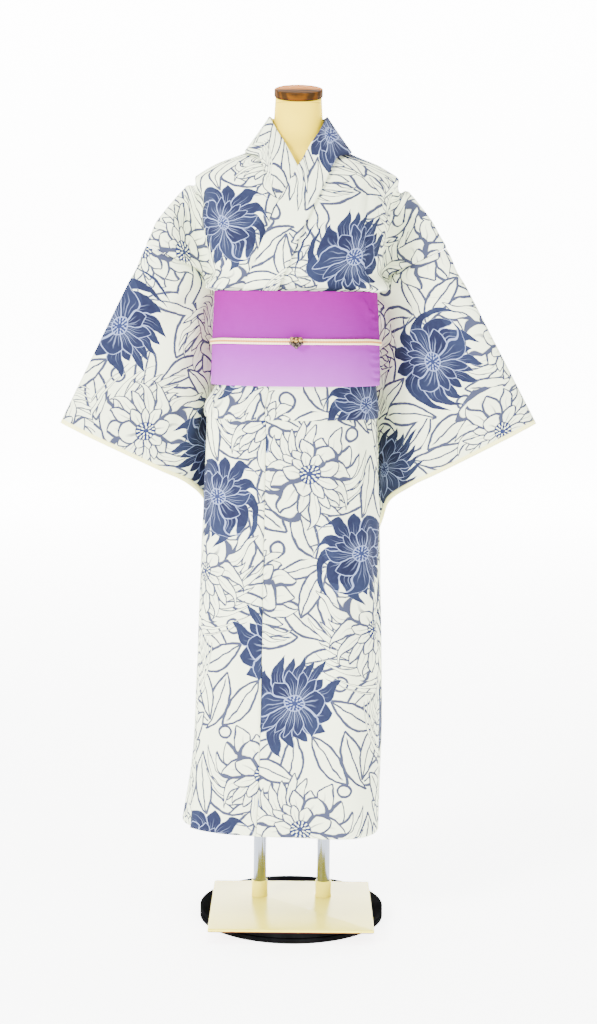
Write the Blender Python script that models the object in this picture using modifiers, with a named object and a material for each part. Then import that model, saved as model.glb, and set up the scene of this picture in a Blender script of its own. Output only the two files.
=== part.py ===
"""A cotton yukata with its obi, worn on a limbless dress form that stands on a turntable.

Metres. +Z is up, the garment faces -Y and +X is the viewer's right, which is the wearer's left.
The origin lies on the floor under the form's axis. Each cloth piece is one open surface, thickened
to the wall of a woven cotton; pieces that are sewn to each other stay a seam's gap apart.
"""
import math

import bmesh
import bpy
import numpy as np
from mathutils import Vector

PART_NAME = "cotton_yukata"

# Cloth.
WALL = 0.0012
SEAM = 0.0003
LAYER = 0.0024
TURN_LAYERS = 3.25
COLLAR_WALL = 0.0022
COLLAR_RISE_RIGHT = 0.0030
COLLAR_RISE_LEFT = 0.0034
NECK_RISE = 0.0060
NECK_RISE_FROM = 1.240
NECK_RISE_RUN = 0.060
SQUARENESS = 2.3
FRONT_CORNER = 0.042
CORNER_TOP = 0.860
CORNER_RUN = 0.400

# Angles round the figure in degrees: 0 is the centre front, 90 the viewer's right, 180 the back.
INNER_EDGE_TURN = 66.0
OKUMI_SEAM_TURN = 15.0
VALLEY_TURN = 80.0
BACK_VALLEY_TURN = 128.0
RIDGE_TURN = 90.0

# Columns of each body panel, from its inner edge to the valley beside the chest and on to its edge.
CHEST_COLUMNS = 6
WING_COLUMNS = 5
BODY_COLUMNS = CHEST_COLUMNS + WING_COLUMNS

# The figure under the cloth: height, half widths on the viewer's left and right, depths.
FIGURE = (
    ("height", "left", "right", "front", "back"),
    (0.157, 0.1840, 0.1390, 0.1120, 0.1180),
    (0.257, 0.1700, 0.1400, 0.1120, 0.1170),
    (0.340, 0.1640, 0.1410, 0.1110, 0.1160),
    (0.447, 0.1590, 0.1400, 0.1110, 0.1160),
    (0.533, 0.1560, 0.1370, 0.1100, 0.1150),
    (0.705, 0.1510, 0.1355, 0.1080, 0.1150),
    (0.826, 0.1480, 0.1345, 0.1050, 0.1120),
    (0.869, 0.1490, 0.1305, 0.1020, 0.1080),
    (0.905, 0.1282, 0.1255, 0.0947, 0.0945),
    (0.980, 0.1242, 0.1235, 0.0937, 0.0920),
    (1.070, 0.1242, 0.1210, 0.0957, 0.0910),
    (1.120, 0.1420, 0.1350, 0.1020, 0.0970),
    (1.150, 0.1460, 0.1400, 0.1030, 0.1000),
    (1.190, 0.1540, 0.1480, 0.0980, 0.1000),
    (1.226, 0.1630, 0.1570, 0.0890, 0.0960),
    (1.245, 0.1740, 0.1700, 0.0830, 0.0910),
    (1.259, 0.1760, 0.1730, 0.0780, 0.0860),
    (1.271, 0.1610, 0.1570, 0.0740, 0.0800),
    (1.283, 0.1390, 0.1370, 0.0690, 0.0740),
    (1.292, 0.1150, 0.1140, 0.0640, 0.0690),
    (1.300, 0.0940, 0.0940, 0.0590, 0.0650),
    (1.310, 0.0740, 0.0740, 0.0520, 0.0600),
    (1.325, 0.0540, 0.0540, 0.0490, 0.0520),
    (1.345, 0.0475, 0.0475, 0.0470, 0.0480),
    (1.366, 0.0458, 0.0458, 0.0450, 0.0460),
    (1.400, 0.0440, 0.0440, 0.0430, 0.0430),
)

# The outline of the shoulders where the cloth folds from front to back, down to the sleeve seam.
SHOULDER_FOLD = (
    ("height", "left", "right"),
    (1.142, 0.2600, 0.2570),
    (1.160, 0.2530, 0.2475),
    (1.176, 0.2460, 0.2380),
    (1.196, 0.2370, 0.2260),
    (1.212, 0.2280, 0.2170),
    (1.228, 0.2170, 0.2080),
    (1.245, 0.1960, 0.1910),
    (1.259, 0.1790, 0.1765),
)
SEAM_TOP = 1.142
SHOULDER_TIP = 1.259
SHOULDER_RUN = 0.075
EASE_FROM = 1.190
EASE_SPREAD = 1.15
RIDGE_EASE = 0.03

# Rows of the body panels below the chest: height along the figure and layer of the waist fold.
SKIRT_ROWS = (0.157, 0.257, 0.360, 0.470, 0.580, 0.690, 0.780)
FOLD_TOP = 0.930
FOLD_BOTTOM = 0.853
FOLD_TURN = 0.0026
FOLD_ROWS = (
    (FOLD_BOTTOM, 0.0),
    (0.8700, 0.0),
    (0.9000, 0.0),
    (FOLD_TOP, 0.0),
    (FOLD_TOP + FOLD_TURN, 0.5),
    (FOLD_TOP, 1.0),
    (0.9000, 1.0),
    (0.8700, 1.0),
    (FOLD_BOTTOM, 1.0),
    (FOLD_BOTTOM - FOLD_TURN, 1.5),
    (FOLD_BOTTOM, 2.0),
    (0.8700, 2.0),
    (0.9000, 2.0),
    (FOLD_TOP, 2.0),
    (0.9850, 2.0),
    (1.0300, 2.0),
    (1.0700, 2.0),
)
CHEST_LAYER = 2.0
UPRIGHT_FROM = FOLD_TOP
UPRIGHT_RUN = 0.055
SHOULDER_ROWS = (1.163, 1.186, 1.208, 1.228, 1.245, 1.259, 1.271, 1.283, 1.292, 1.300, 1.309)

# Where the side seam runs round the figure, by height.
SIDE_SEAM = (
    ("height", "turn"),
    (0.157, 74.0),
    (0.700, 80.0),
    (0.870, 90.0),
    (1.070, 104.0),
)
BACK_NECK = (
    ("height", "turn"),
    (1.300, 180.0),
    (1.309, 150.0),
)

# Sleeves: a flat tube that hangs from its top fold; v runs down the cloth from that fold.
SLEEVE_WIDTH = 0.340
SLEEVE_LENGTH = 0.490
CUFF_OPENING = 0.230
SLEEVE_SLOPE_LEFT = math.radians(64.7)
SLEEVE_SLOPE_RIGHT = math.radians(62.4)
HANG_SLOPE = math.radians(62.0)
HANG_START = 0.075
HANG_END = 0.165
HANG_STEPS = 98
HOLLOW = 0.0095
FOLD_ROUND = 0.040
CUFF_GAPE = 0.9
CUFF_RUN = 0.025
GAPE_FROM = 0.200
GAPE_RUN = 0.070
SEWN_FROM = 0.290
SEWN_GAP = 0.0011
ARMHOLE_PINCH = 0.86
FREE_EDGE_STEP = 0.012
FREE_FROM = 0.090
FREE_RUN = 0.060
ARMHOLE_V = (0.0, 0.006, 0.024, 0.050, 0.080, 0.112)
SLEEVE_V = ARMHOLE_V + (0.150, 0.195, 0.245, 0.300, 0.355, 0.410, 0.450, 0.474, 0.485, 0.490)
SLEEVE_START = 0.0010
SLEEVE_P = (SLEEVE_START, 0.055, 0.110, 0.165, 0.215, 0.260, 0.296, 0.322, SLEEVE_WIDTH)

# The sleeves seen from above, from the outer corner inward and round behind the hips.
SLEEVE_PLAN = (
    ("side", "depth"),
    (0.460, 0.004),
    (0.400, 0.002),
    (0.330, 0.003),
    (0.257, 0.008),
    (0.208, 0.016),
    (0.182, 0.030),
    (0.166, 0.052),
    (0.157, 0.080),
    (0.142, 0.106),
    (0.116, 0.126),
    (0.085, 0.138),
    (0.045, 0.145),
    (0.000, 0.147),
)
PLAN_STEPS = 8
NORMAL_STEP = 0.004
VALLEY_DEPTH = 0.034
VALLEY_SIDE = 0.005
FRONT_WING_SIDE = 0.190
WING_RUN = 0.040
WING_SHARES = (0.0, 0.42, 0.76, 0.93, 1.0)
FOLD_FALL = math.radians(26.0)

# The collar: its inner and outer edges for one side, from behind the neck to its end in the obi.
# A depth of None lies on the figure; a turn places the outer edge on the shoulder.
NECK = (
    ("inner x", "inner y", "inner z", "outer turn", "outer z"),
    (0.0000, 0.0610, 1.3570, 180.0, 1.2980),
    (0.0270, 0.0530, 1.3610, 150.0, 1.2990),
    (0.0440, 0.0300, 1.3650, 121.0, 1.3040),
    (0.0495, 0.0000, 1.3660, 94.0, 1.3080),
    (0.0485, -0.0120, 1.3620, 74.0, 1.3050),
    (0.0465, -0.0200, 1.3575, 56.0, 1.2995),
)
COLLAR = (
    ("inner x", "inner y", "inner z", "outer x", "outer z"),
    (0.0440, -0.0270, 1.3530, 0.0680, 1.2930),
    (0.0353, -0.0400, 1.3370, 0.0610, 1.2820),
    (0.0239, -0.0570, 1.3190, 0.0545, 1.2680),
    (0.0125, -0.0720, 1.2980, 0.0485, 1.2530),
    (0.0000, None, 1.2750, 0.0385, 1.2320),
    (-0.0170, None, 1.2430, 0.0255, 1.2050),
    (-0.0333, None, 1.2110, 0.0125, 1.1750),
    (-0.0470, None, 1.1780, 0.0000, 1.1440),
    (-0.0620, None, 1.1400, -0.0125, 1.1120),
    (-0.0765, None, 1.1030, -0.0240, 1.0850),
    (-0.0888, None, 1.0700, -0.0345, 1.0580),
    (-0.1020, None, 1.0200, -0.0480, 1.0100),
    (-0.1070, None, 0.9900, -0.0530, 0.9820),
)
COLLAR_SEAM_SHARE = 0.72
COLLAR_ROUND = (0.0, -0.003, 0.001)
CHEST_EASE = 0.008

# The overlap panels: turn of the free front edge past the centre, by height on the figure.
OKUMI_SKIRT = (
    ("height", "edge turn"),
    (0.157, 60.0),
    (0.257, 65.0),
    (0.430, 69.0),
    (0.835, 69.0),
    (0.925, 58.0),
)
OKUMI_CHEST = (
    ("height", "edge turn"),
    (0.850, 57.0),
    (0.900, 52.0),
    (0.930, 46.0),
    (0.985, 34.0),
    (1.030, 20.0),
)
OKUMI_COLUMNS = 4
OKUMI_GAP = 0.00042

# The obi, wound once with a lap behind, its cord and the ornament on it.
OBI = (
    ("height", "left", "right", "front", "back"),
    (0.9055, 0.1455, 0.1428, 0.1178, 0.1090),
    (0.9450, 0.1445, 0.1426, 0.1176, 0.1080),
    (0.9850, 0.1438, 0.1424, 0.1174, 0.1075),
    (1.0250, 0.1424, 0.1405, 0.1178, 0.1075),
    (1.0650, 0.1408, 0.1380, 0.1183, 0.1080),
)
OBI_WALL = 0.0020
OBI_START_TURN = -150.0
OBI_END_TURN = 248.0
OBI_STEPS = 48
OBI_LAP = 0.0032
OBI_LAP_FROM = 165.0
OBI_LAP_RUN = 45.0
CORD_HEIGHT = 0.9805
CORD_WIDTH = 0.0105
CORD_THICKNESS = 0.0050
CORD_DIP = 0.0035
CORD_DIP_FROM = 50.0
CORD_DIP_RUN = 40.0
CORD_LAP_RIGHT = 140.0
CORD_LAP_LEFT = 86.0
CORD_LAP_RUN = 24.0
CORD_STEPS = 56
CORD_SIDES = 8
CORD_GAP = 0.0006
KNOT_SIZE = (0.034, 0.008, 0.016)
KNOT_ROUND = 0.003
ORNAMENT_HEIGHT = 0.9800
ORNAMENT_BACK = (0.0105, 0.0022, 0.0090)
BEAD_SUNK = 0.0016
BEADS = (
    ("x", "z", "radius"),
    (-0.0068, 0.0042, 0.0042),
    (0.0068, 0.0042, 0.0042),
    (0.0000, 0.0030, 0.0040),
    (-0.0090, -0.0012, 0.0030),
    (0.0090, -0.0012, 0.0030),
    (-0.0045, -0.0030, 0.0036),
    (0.0045, -0.0030, 0.0036),
    (0.0000, -0.0078, 0.0034),
)

# The dress form and its stand.
TORSO_BOTTOM = 0.720
TORSO_INSET = 0.0040
RIDGE_INSET = 0.0024
HIP_INSET = 0.0160
HIP_TOP = 0.950
HIP_WIDEST = 0.860
TORSO_RIM = 0.014
RIDGE_LOW = 1.250
RIDGE_HIGH = 1.312
RIDGE_RUN = 0.010
RIDGE_FROM = 0.93
NECK_TILT_FROM = 1.345
TORSO_SIDES = 24
NECK_TILT = math.radians(17.0)
CAP_HEIGHT = 1.4003
CAP_RADIUS = 0.0420
CAP_THICKNESS = 0.0135
CAP_CROWN = 0.0025
CAP_ROUND = 0.0014
LEG_SPACING = 0.1095
LEG_RADIUS = 0.0110
SOCKET_RADIUS = 0.0136
SOCKET_HEIGHT = 0.0270
SOCKET_ROUND = 0.0008
LEG_SIDES = 24
DISC_CENTRE_Y = -0.025
DISC_RADIUS = 0.1555
DISC_LOWER = 0.0085
DISC_GAP = 0.0012
DISC_UPPER = 0.0088
DISC_ROUND = 0.0012
BEARING_RADIUS = 0.060
PLATE_SIZE = (0.272, 0.265, 0.0048)
PLATE_CENTRE_Y = -0.050
PLATE_BEVEL = 0.0018
ROUND_SIDES = 32

# Colours: red, green, blue, then roughness and metallic.
FINISHES = {
    "cotton_print": (0.80, 0.80, 0.78, 0.85, 0.0),
    "obi_cloth": (0.60, 0.28, 0.62, 0.60, 0.0),
    "cord_braid": (0.86, 0.82, 0.74, 0.80, 0.0),
    "aged_gold": (0.50, 0.38, 0.20, 0.40, 1.0),
    "form_cloth": (0.86, 0.78, 0.55, 0.80, 0.0),
    "lacquered_wood": (0.34, 0.17, 0.07, 0.30, 0.0),
    "chrome": (0.80, 0.80, 0.82, 0.12, 1.0),
    "cream_enamel": (0.88, 0.82, 0.62, 0.25, 0.0),
    "black_plastic": (0.03, 0.03, 0.03, 0.45, 0.0),
}


def table(rows, name, value):
    """Read a named column by the first one, straight between rows; the names are the first row."""
    column = rows[0].index(name)
    return float(np.interp(value, [row[0] for row in rows[1:]], [row[column] for row in rows[1:]]))


def smooth(value):
    value = min(max(value, 0.0), 1.0)
    return value * value * (3.0 - 2.0 * value)


def mix(first, second, share):
    return first + (second - first) * share


def figure_point(height, turn, out, rows=FIGURE):
    """A point pushed out from the figure; the skirt's front corner on the right stands forward."""
    sine = math.sin(math.radians(turn))
    cosine = math.cos(math.radians(turn))
    side = table(rows, "right" if sine > 0.0 else "left", height) + out
    depth = table(rows, "front" if cosine > 0.0 else "back", height) + out
    power = 2.0 / SQUARENESS
    across = math.copysign(abs(sine) ** power, sine)
    forward = math.copysign(abs(cosine) ** power, cosine)
    corner = FRONT_CORNER * smooth((CORNER_TOP - height) / CORNER_RUN) * smooth(across)
    return Vector((side * across, -depth * forward - corner, height))


def turn_at(height, x, out):
    """The turn, on the front, at which the figure reaches x."""
    side = table(FIGURE, "right" if x > 0.0 else "left", height) + out
    share = min(abs(x) / side, 0.999) ** (SQUARENESS / 2.0)
    return math.copysign(math.degrees(math.asin(share)), x)


def wound_out(side, turn, layer):
    """How far a panel lies out: both are wound one way, from the inner edge to the outer one."""
    wound = INNER_EDGE_TURN - turn if side < 0 else INNER_EDGE_TURN + 360.0 - turn
    return LAYER * (TURN_LAYERS * wound / 360.0 + layer)


def shoulder_ease(height, turn):
    """Layers close up towards the shoulder, where the cloth rests on the form."""
    ridge = mix(1.0, RIDGE_EASE, smooth((height - EASE_FROM) / (SHOULDER_TIP - EASE_FROM)))
    sideways = smooth(abs(math.sin(math.radians(turn))) * EASE_SPREAD)
    return mix(1.0, ridge, sideways)


def chest_out(side, turn, height):
    return wound_out(side, turn, CHEST_LAYER) * shoulder_ease(height, turn)


def sleeve_slope(side):
    return SLEEVE_SLOPE_RIGHT if side > 0 else SLEEVE_SLOPE_LEFT


def top_fold_x(side, height):
    """Half width of the outer fold: the shoulder's outline, then the sleeve's straight top fold."""
    name = "right" if side > 0 else "left"
    below = max(SEAM_TOP - height, 0.0) / math.tan(sleeve_slope(side))
    return table(SHOULDER_FOLD, name, height) + below


def plan_curve():
    """The sleeves' line from above as even steps along a smooth curve: distance, side, depth."""
    points = [Vector(row) for row in SLEEVE_PLAN[1:]]
    smoothed = []
    for index in range(len(points) - 1):
        before = points[max(index - 1, 0)]
        start = points[index]
        end = points[index + 1]
        after = points[min(index + 2, len(points) - 1)]
        for step in range(PLAN_STEPS):
            share = step / PLAN_STEPS
            bend = (2.0 * before - 5.0 * start + 4.0 * end - after) * share ** 2
            twist = (3.0 * start - before - 3.0 * end + after) * share ** 3
            smoothed.append(0.5 * (2.0 * start + (end - before) * share + bend + twist))
    smoothed.append(points[-1])
    length = [0.0]
    for first, second in zip(smoothed, smoothed[1:]):
        length.append(length[-1] + (second - first).length)
    return np.array(length), np.array([p.x for p in smoothed]), np.array([p.y for p in smoothed])


PLAN_LENGTH, PLAN_SIDE, PLAN_DEPTH = plan_curve()


def plan_distance(x):
    return float(np.interp(-x, -PLAN_SIDE, PLAN_LENGTH))


def plan_point(distance):
    x = float(np.interp(distance, PLAN_LENGTH, PLAN_SIDE))
    y = float(np.interp(distance, PLAN_LENGTH, PLAN_DEPTH))
    return Vector((x, y))


def plan_normal(distance):
    """Unit normal of the plan line, away from the body."""
    step = NORMAL_STEP
    along = plan_point(distance + step) - plan_point(distance - step)
    along.normalize()
    return Vector((along.y, -along.x))


def hollow(v):
    """Half the gap between a sleeve's front and back, closed round its top fold."""
    share = min(max(v, 0.0) / FOLD_ROUND, 1.0)
    return HOLLOW * math.sqrt(1.0 - (1.0 - share) ** 2)


def armhole_hollow(v):
    """The same at the sleeve seam, which closes at its lower end under the arm."""
    closed = smooth((v - FOLD_ROUND) / (ARMHOLE_V[-1] - FOLD_ROUND))
    return hollow(v) * (1.0 - ARMHOLE_PINCH * closed)


def hang_line(side, p):
    """The line down the sleeve cloth at p from the seam: (distance along the plan, height) by v."""
    slope = sleeve_slope(side)
    start_x = top_fold_x(side, SEAM_TOP) + p * math.cos(slope)
    distance = plan_distance(start_x)
    height = SEAM_TOP - p * math.sin(slope)
    seam_distance = plan_distance(top_fold_x(side, SEAM_TOP))
    step = SLEEVE_LENGTH / HANG_STEPS
    track = [(0.0, distance, height)]
    for index in range(HANG_STEPS):
        behind = smooth((distance - seam_distance - HANG_START) / (HANG_END - HANG_START))
        fall = mix(math.pi / 2.0 - slope, HANG_SLOPE, behind)
        distance += step * math.cos(fall)
        height -= step * math.sin(fall)
        track.append(((index + 1) * step, distance, height))
    columns = np.array(track).T
    return [(float(np.interp(v, columns[0], columns[1])), float(np.interp(v, columns[0], columns[2])))
            for v in SLEEVE_V]


def armhole(side):
    """Heights and half widths down the sleeve seam, where body and sleeve meet."""
    line = hang_line(side, 0.0)[:len(ARMHOLE_V)]
    return [(height, distance) for distance, height in line]


def mirrored(side, x, y, z):
    return Vector((side * x, y, z))


def centre_back_turn():
    """The centre back seam, half its gap short of the middle."""
    return 180.0 - math.degrees(0.5 * SEAM / table(FIGURE, "back", CORNER_TOP))


def chest_front_edge(side, height):
    """The turn of a front panel's inner edge, under the collar."""
    seam = []
    for inner_x, _, inner_z, outer_x, outer_z in reversed(COLLAR[1:]):
        seam.append((mix(inner_z, outer_z, COLLAR_SEAM_SHARE), mix(inner_x, outer_x, COLLAR_SEAM_SHARE)))
    x = side * float(np.interp(height, [row[0] for row in seam], [row[1] for row in seam]))
    return side * turn_at(height, x, CHEST_EASE)


def wing_points(side, height, behind, end_distance, end_v):
    """From the valley beside the chest out along the sleeve's plan to the fold or the armhole."""
    valley_turn = BACK_VALLEY_TURN if behind else VALLEY_TURN
    sign = 1.0 if behind else -1.0
    opened = smooth((SHOULDER_TIP - height) / SHOULDER_RUN)
    out = chest_out(side, side * RIDGE_TURN, height)
    wide = figure_point(height, side * RIDGE_TURN, out)
    pinch = armhole_hollow(end_v) / hollow(end_v) if end_v > 0.0 else 1.0
    start_x = abs(wide.x) + VALLEY_SIDE if behind else FRONT_WING_SIDE
    start_distance = plan_distance(start_x)
    valley = Vector((abs(wide.x) + VALLEY_SIDE, VALLEY_DEPTH))
    if behind:
        valley = plan_point(start_distance) + plan_normal(start_distance) * HOLLOW * pinch
    end = plan_point(end_distance) + sign * plan_normal(end_distance) * armhole_hollow(end_v)
    curving = 1.0 if behind else smooth((start_distance - end_distance) / WING_RUN)
    points = []
    for index, share in enumerate(WING_SHARES):
        distance = mix(start_distance, end_distance, share)
        gap = hollow((distance - end_distance) / math.cos(FOLD_FALL) + end_v) * pinch
        curved = plan_point(distance) + sign * plan_normal(distance) * gap
        curved = valley.lerp(curved, smooth(share / WING_SHARES[1]))
        level = valley.lerp(end, share).lerp(curved, curving)
        if share == 1.0:
            level = end
        turn = mix(valley_turn, RIDGE_TURN, (index + 1) / WING_COLUMNS)
        round_out = chest_out(side, side * turn, height)
        rounded = figure_point(height, side * turn, round_out)
        x = mix(abs(rounded.x), level.x, opened)
        points.append(Vector((side * x, mix(rounded.y, level.y, opened), height)))
    return points


def chest_row(side, height, behind, end_distance, end_v):
    """One level of a body panel above the obi, from its inner edge to the fold or the armhole."""
    if behind:
        first = min(table(BACK_NECK, "turn", height), centre_back_turn())
        last = BACK_VALLEY_TURN
    else:
        first = chest_front_edge(side, height)
        last = VALLEY_TURN
    row = []
    for column in range(CHEST_COLUMNS + 1):
        turn = mix(first, last, column / CHEST_COLUMNS)
        row.append(figure_point(height, side * turn, chest_out(side, side * turn, height)))
    return row + wing_points(side, height, behind, end_distance, end_v)


def lower_row(side, height, layer, behind):
    """One level of a body panel from the hem to the top of the obi."""
    seam = table(SIDE_SEAM, "turn", height)
    gap = math.degrees(0.5 * (WALL + SEAM) / table(FIGURE, "right", height))
    if behind:
        first = centre_back_turn()
        last = seam + gap
    elif height > OKUMI_CHEST[-1][0]:
        first = chest_front_edge(side, height)
        last = seam - gap
    else:
        first = -OKUMI_SEAM_TURN
        last = seam - gap
    valley = BACK_VALLEY_TURN if behind else VALLEY_TURN
    upright = smooth((height - UPRIGHT_FROM) / UPRIGHT_RUN)
    row = []
    for column in range(BODY_COLUMNS + 1):
        turn = mix(first, last, column / BODY_COLUMNS)
        if column <= CHEST_COLUMNS:
            above = mix(first, valley, column / CHEST_COLUMNS)
        else:
            above = mix(valley, last, (column - CHEST_COLUMNS) / WING_COLUMNS)
        turn = mix(turn, above, upright)
        row.append(figure_point(height, side * turn, wound_out(side, side * turn, layer)))
    return row


def body_rows(side, behind):
    rows = [lower_row(side, height, 0.0, behind) for height in SKIRT_ROWS]
    rows += [lower_row(side, height, layer, behind) for height, layer in FOLD_ROWS]
    for (height, distance), v in list(zip(armhole(side), ARMHOLE_V))[:0:-1]:
        rows.append(chest_row(side, height, behind, distance, v))
    fold_distance = plan_distance(top_fold_x(side, SEAM_TOP))
    rows.append(chest_row(side, SEAM_TOP, behind, fold_distance, 0.0))
    for height in SHOULDER_ROWS:
        distance = plan_distance(top_fold_x(side, height))
        rows.append(chest_row(side, height, behind, distance, 0.0))
    return rows


def grid_object(name, grids, finish, wall, closed=False, offset=0.0):
    """Skin grids of points, weld them where they share points, and give the surface its wall."""
    mesh = bpy.data.meshes.new(name)
    shape = bmesh.new()
    for rows in grids:
        lines = [[shape.verts.new(point) for point in row] for row in rows]
        for lower, upper in zip(lines, lines[1:]):
            count = len(lower)
            last = count if closed else count - 1
            for column in range(last):
                following = (column + 1) % count
                shape.faces.new((lower[column], lower[following], upper[following], upper[column]))
    bmesh.ops.remove_doubles(shape, verts=shape.verts, dist=0.00002)
    bmesh.ops.recalc_face_normals(shape, faces=shape.faces)
    shape.to_mesh(mesh)
    shape.free()
    item = bpy.data.objects.new(name, mesh)
    thick = item.modifiers.new("wall", "SOLIDIFY")
    thick.thickness = wall
    thick.offset = offset
    thick.use_even_offset = True
    mesh.shade_smooth()
    finish_object(item, finish)
    return item


def finish_object(item, finish):
    if item.name not in PARTS.objects:
        PARTS.objects.link(item)
    item.data.materials.clear()
    item.data.materials.append(MATERIALS[finish])


def make_materials():
    materials = {}
    for name, (red, green, blue, roughness, metallic) in FINISHES.items():
        material = bpy.data.materials.new(name)
        material.use_nodes = True
        shader = material.node_tree.nodes["Principled BSDF"]
        shader.inputs["Base Color"].default_value = (red, green, blue, 1.0)
        shader.inputs["Roughness"].default_value = roughness
        shader.inputs["Metallic"].default_value = metallic
        materials[name] = material
    return materials


def make_body(name, side):
    front = body_rows(side, behind=False)
    back = body_rows(side, behind=True)
    top = len(back) - len(SHOULDER_ROWS) - 1
    for index in range(top, len(back)):
        back[index][-1] = front[index][-1].copy()
    grid_object(name, (front, back), "cotton_print", WALL)


def okumi_row(side, height, layer):
    """One level of an overlap panel, from its seam to its free edge."""
    edge = table(OKUMI_CHEST if layer > 1.0 else OKUMI_SKIRT, "edge turn", height)
    if layer == 1.0:
        folded = smooth((FOLD_TOP - height) / (FOLD_TOP - FOLD_BOTTOM))
        edge = mix(table(OKUMI_SKIRT, "edge turn", FOLD_TOP), OKUMI_CHEST[1][1], folded)
    seam = OKUMI_SEAM_TURN + math.degrees(OKUMI_GAP / table(FIGURE, "front", height))
    row = []
    for column in range(OKUMI_COLUMNS + 1):
        turn = -side * mix(seam, edge, column / OKUMI_COLUMNS)
        row.append(figure_point(height, turn, wound_out(side, turn, layer)))
    return row


def make_okumi(name, side):
    rows = [okumi_row(side, height, 0.0) for height in SKIRT_ROWS]
    for height, layer in FOLD_ROWS:
        if layer < CHEST_LAYER or height <= OKUMI_CHEST[-1][0]:
            rows.append(okumi_row(side, height, layer))
    grid_object(name, (rows,), "cotton_print", WALL)


def sleeve_ring(side, p):
    """The sleeve cut across at p: down its front from the top fold and back up behind."""
    line = hang_line(side, p)
    slope = sleeve_slope(side)
    opening = smooth((p - GAPE_FROM) / (SLEEVE_WIDTH - GAPE_FROM))
    near_cuff = smooth((p - SEWN_FROM) / (SLEEVE_WIDTH - SEWN_FROM))
    fore = []
    rear = []
    for v, (distance, height) in zip(SLEEVE_V, line):
        step = FREE_EDGE_STEP * (1.0 - p / SLEEVE_WIDTH) * smooth((v - FREE_FROM) / FREE_RUN)
        distance -= step * math.cos(slope)
        height -= step * math.sin(slope)
        gap = hollow(v) * hollow(SLEEVE_LENGTH - v) / HOLLOW
        gap = mix(armhole_hollow(v) if v <= ARMHOLE_V[-1] else gap, gap, smooth(p / SLEEVE_P[2]))
        within = smooth(v / GAPE_RUN) * smooth((CUFF_OPENING + CUFF_RUN - v) / GAPE_RUN)
        sewn = near_cuff * smooth((v - CUFF_OPENING) / CUFF_RUN)
        gap = mix(gap * (1.0 + CUFF_GAPE * opening * within), min(gap, SEWN_GAP), sewn)
        centre = plan_point(distance)
        normal = plan_normal(distance)
        fore.append(mirrored(side, centre.x - normal.x * gap, centre.y - normal.y * gap, height))
        rear.append(mirrored(side, centre.x + normal.x * gap, centre.y + normal.y * gap, height))
    return fore + rear[-2:0:-1]


def make_sleeve(name, side):
    rings = [sleeve_ring(side, p) for p in SLEEVE_P]
    grid_object(name, (rings,), "cotton_print", WALL, closed=True)


def collar_rise(side, height):
    """How far the collar's middle lies over its own panel; more where it turns up at the neck."""
    rise = COLLAR_RISE_LEFT if side > 0 else COLLAR_RISE_RIGHT
    return rise + NECK_RISE * smooth((height - NECK_RISE_FROM) / NECK_RISE_RUN)


def collar_front_point(side, x, height):
    """A point of the collar lying on the chest."""
    out = COLLAR_RISE_LEFT
    for _ in range(4):
        turn = turn_at(height, x, out)
        out = chest_out(side, turn, height) + collar_rise(side, height)
    return figure_point(height, turn_at(height, x, out), out)


def collar_rows(side):
    rows = []
    for inner_x, inner_y, inner_z, turn, outer_z in NECK[1:]:
        inner = mirrored(side, inner_x, inner_y, inner_z)
        out = chest_out(side, side * turn, outer_z) + collar_rise(side, outer_z)
        outer = figure_point(outer_z, side * turn, out)
        middle = inner.lerp(outer, 0.55)
        rows.append([inner, middle, outer])
    for inner_x, inner_y, inner_z, outer_x, outer_z in COLLAR[1:]:
        outer = collar_front_point(side, side * outer_x, outer_z)
        if inner_y is None:
            inner = collar_front_point(side, side * inner_x, inner_z)
            middle_x = side * mix(inner_x, outer_x, 0.5)
            middle = collar_front_point(side, middle_x, mix(inner_z, outer_z, 0.5))
        else:
            inner = mirrored(side, inner_x, inner_y, inner_z)
            middle = inner.lerp(outer, 0.5) + Vector(COLLAR_ROUND)
        rows.append([inner, middle, outer])
    return rows


def make_collar(name):
    wearer_left = collar_rows(1)
    wearer_right = collar_rows(-1)
    rows = wearer_right[:0:-1] + wearer_left
    grid_object(name, (rows,), "cotton_print", COLLAR_WALL)


def make_obi(name):
    """One turn of the sash; its outer end laps over its inner one behind."""
    rows = []
    for height in [level[0] for level in OBI[1:]]:
        row = []
        for step in range(OBI_STEPS + 1):
            turn = mix(OBI_START_TURN, OBI_END_TURN, step / OBI_STEPS)
            lap = OBI_LAP * smooth((turn - OBI_LAP_FROM) / OBI_LAP_RUN)
            row.append(figure_point(height, turn, lap, rows=OBI))
        rows.append(row)
    grid_object(name, (rows,), "obi_cloth", OBI_WALL)


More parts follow.
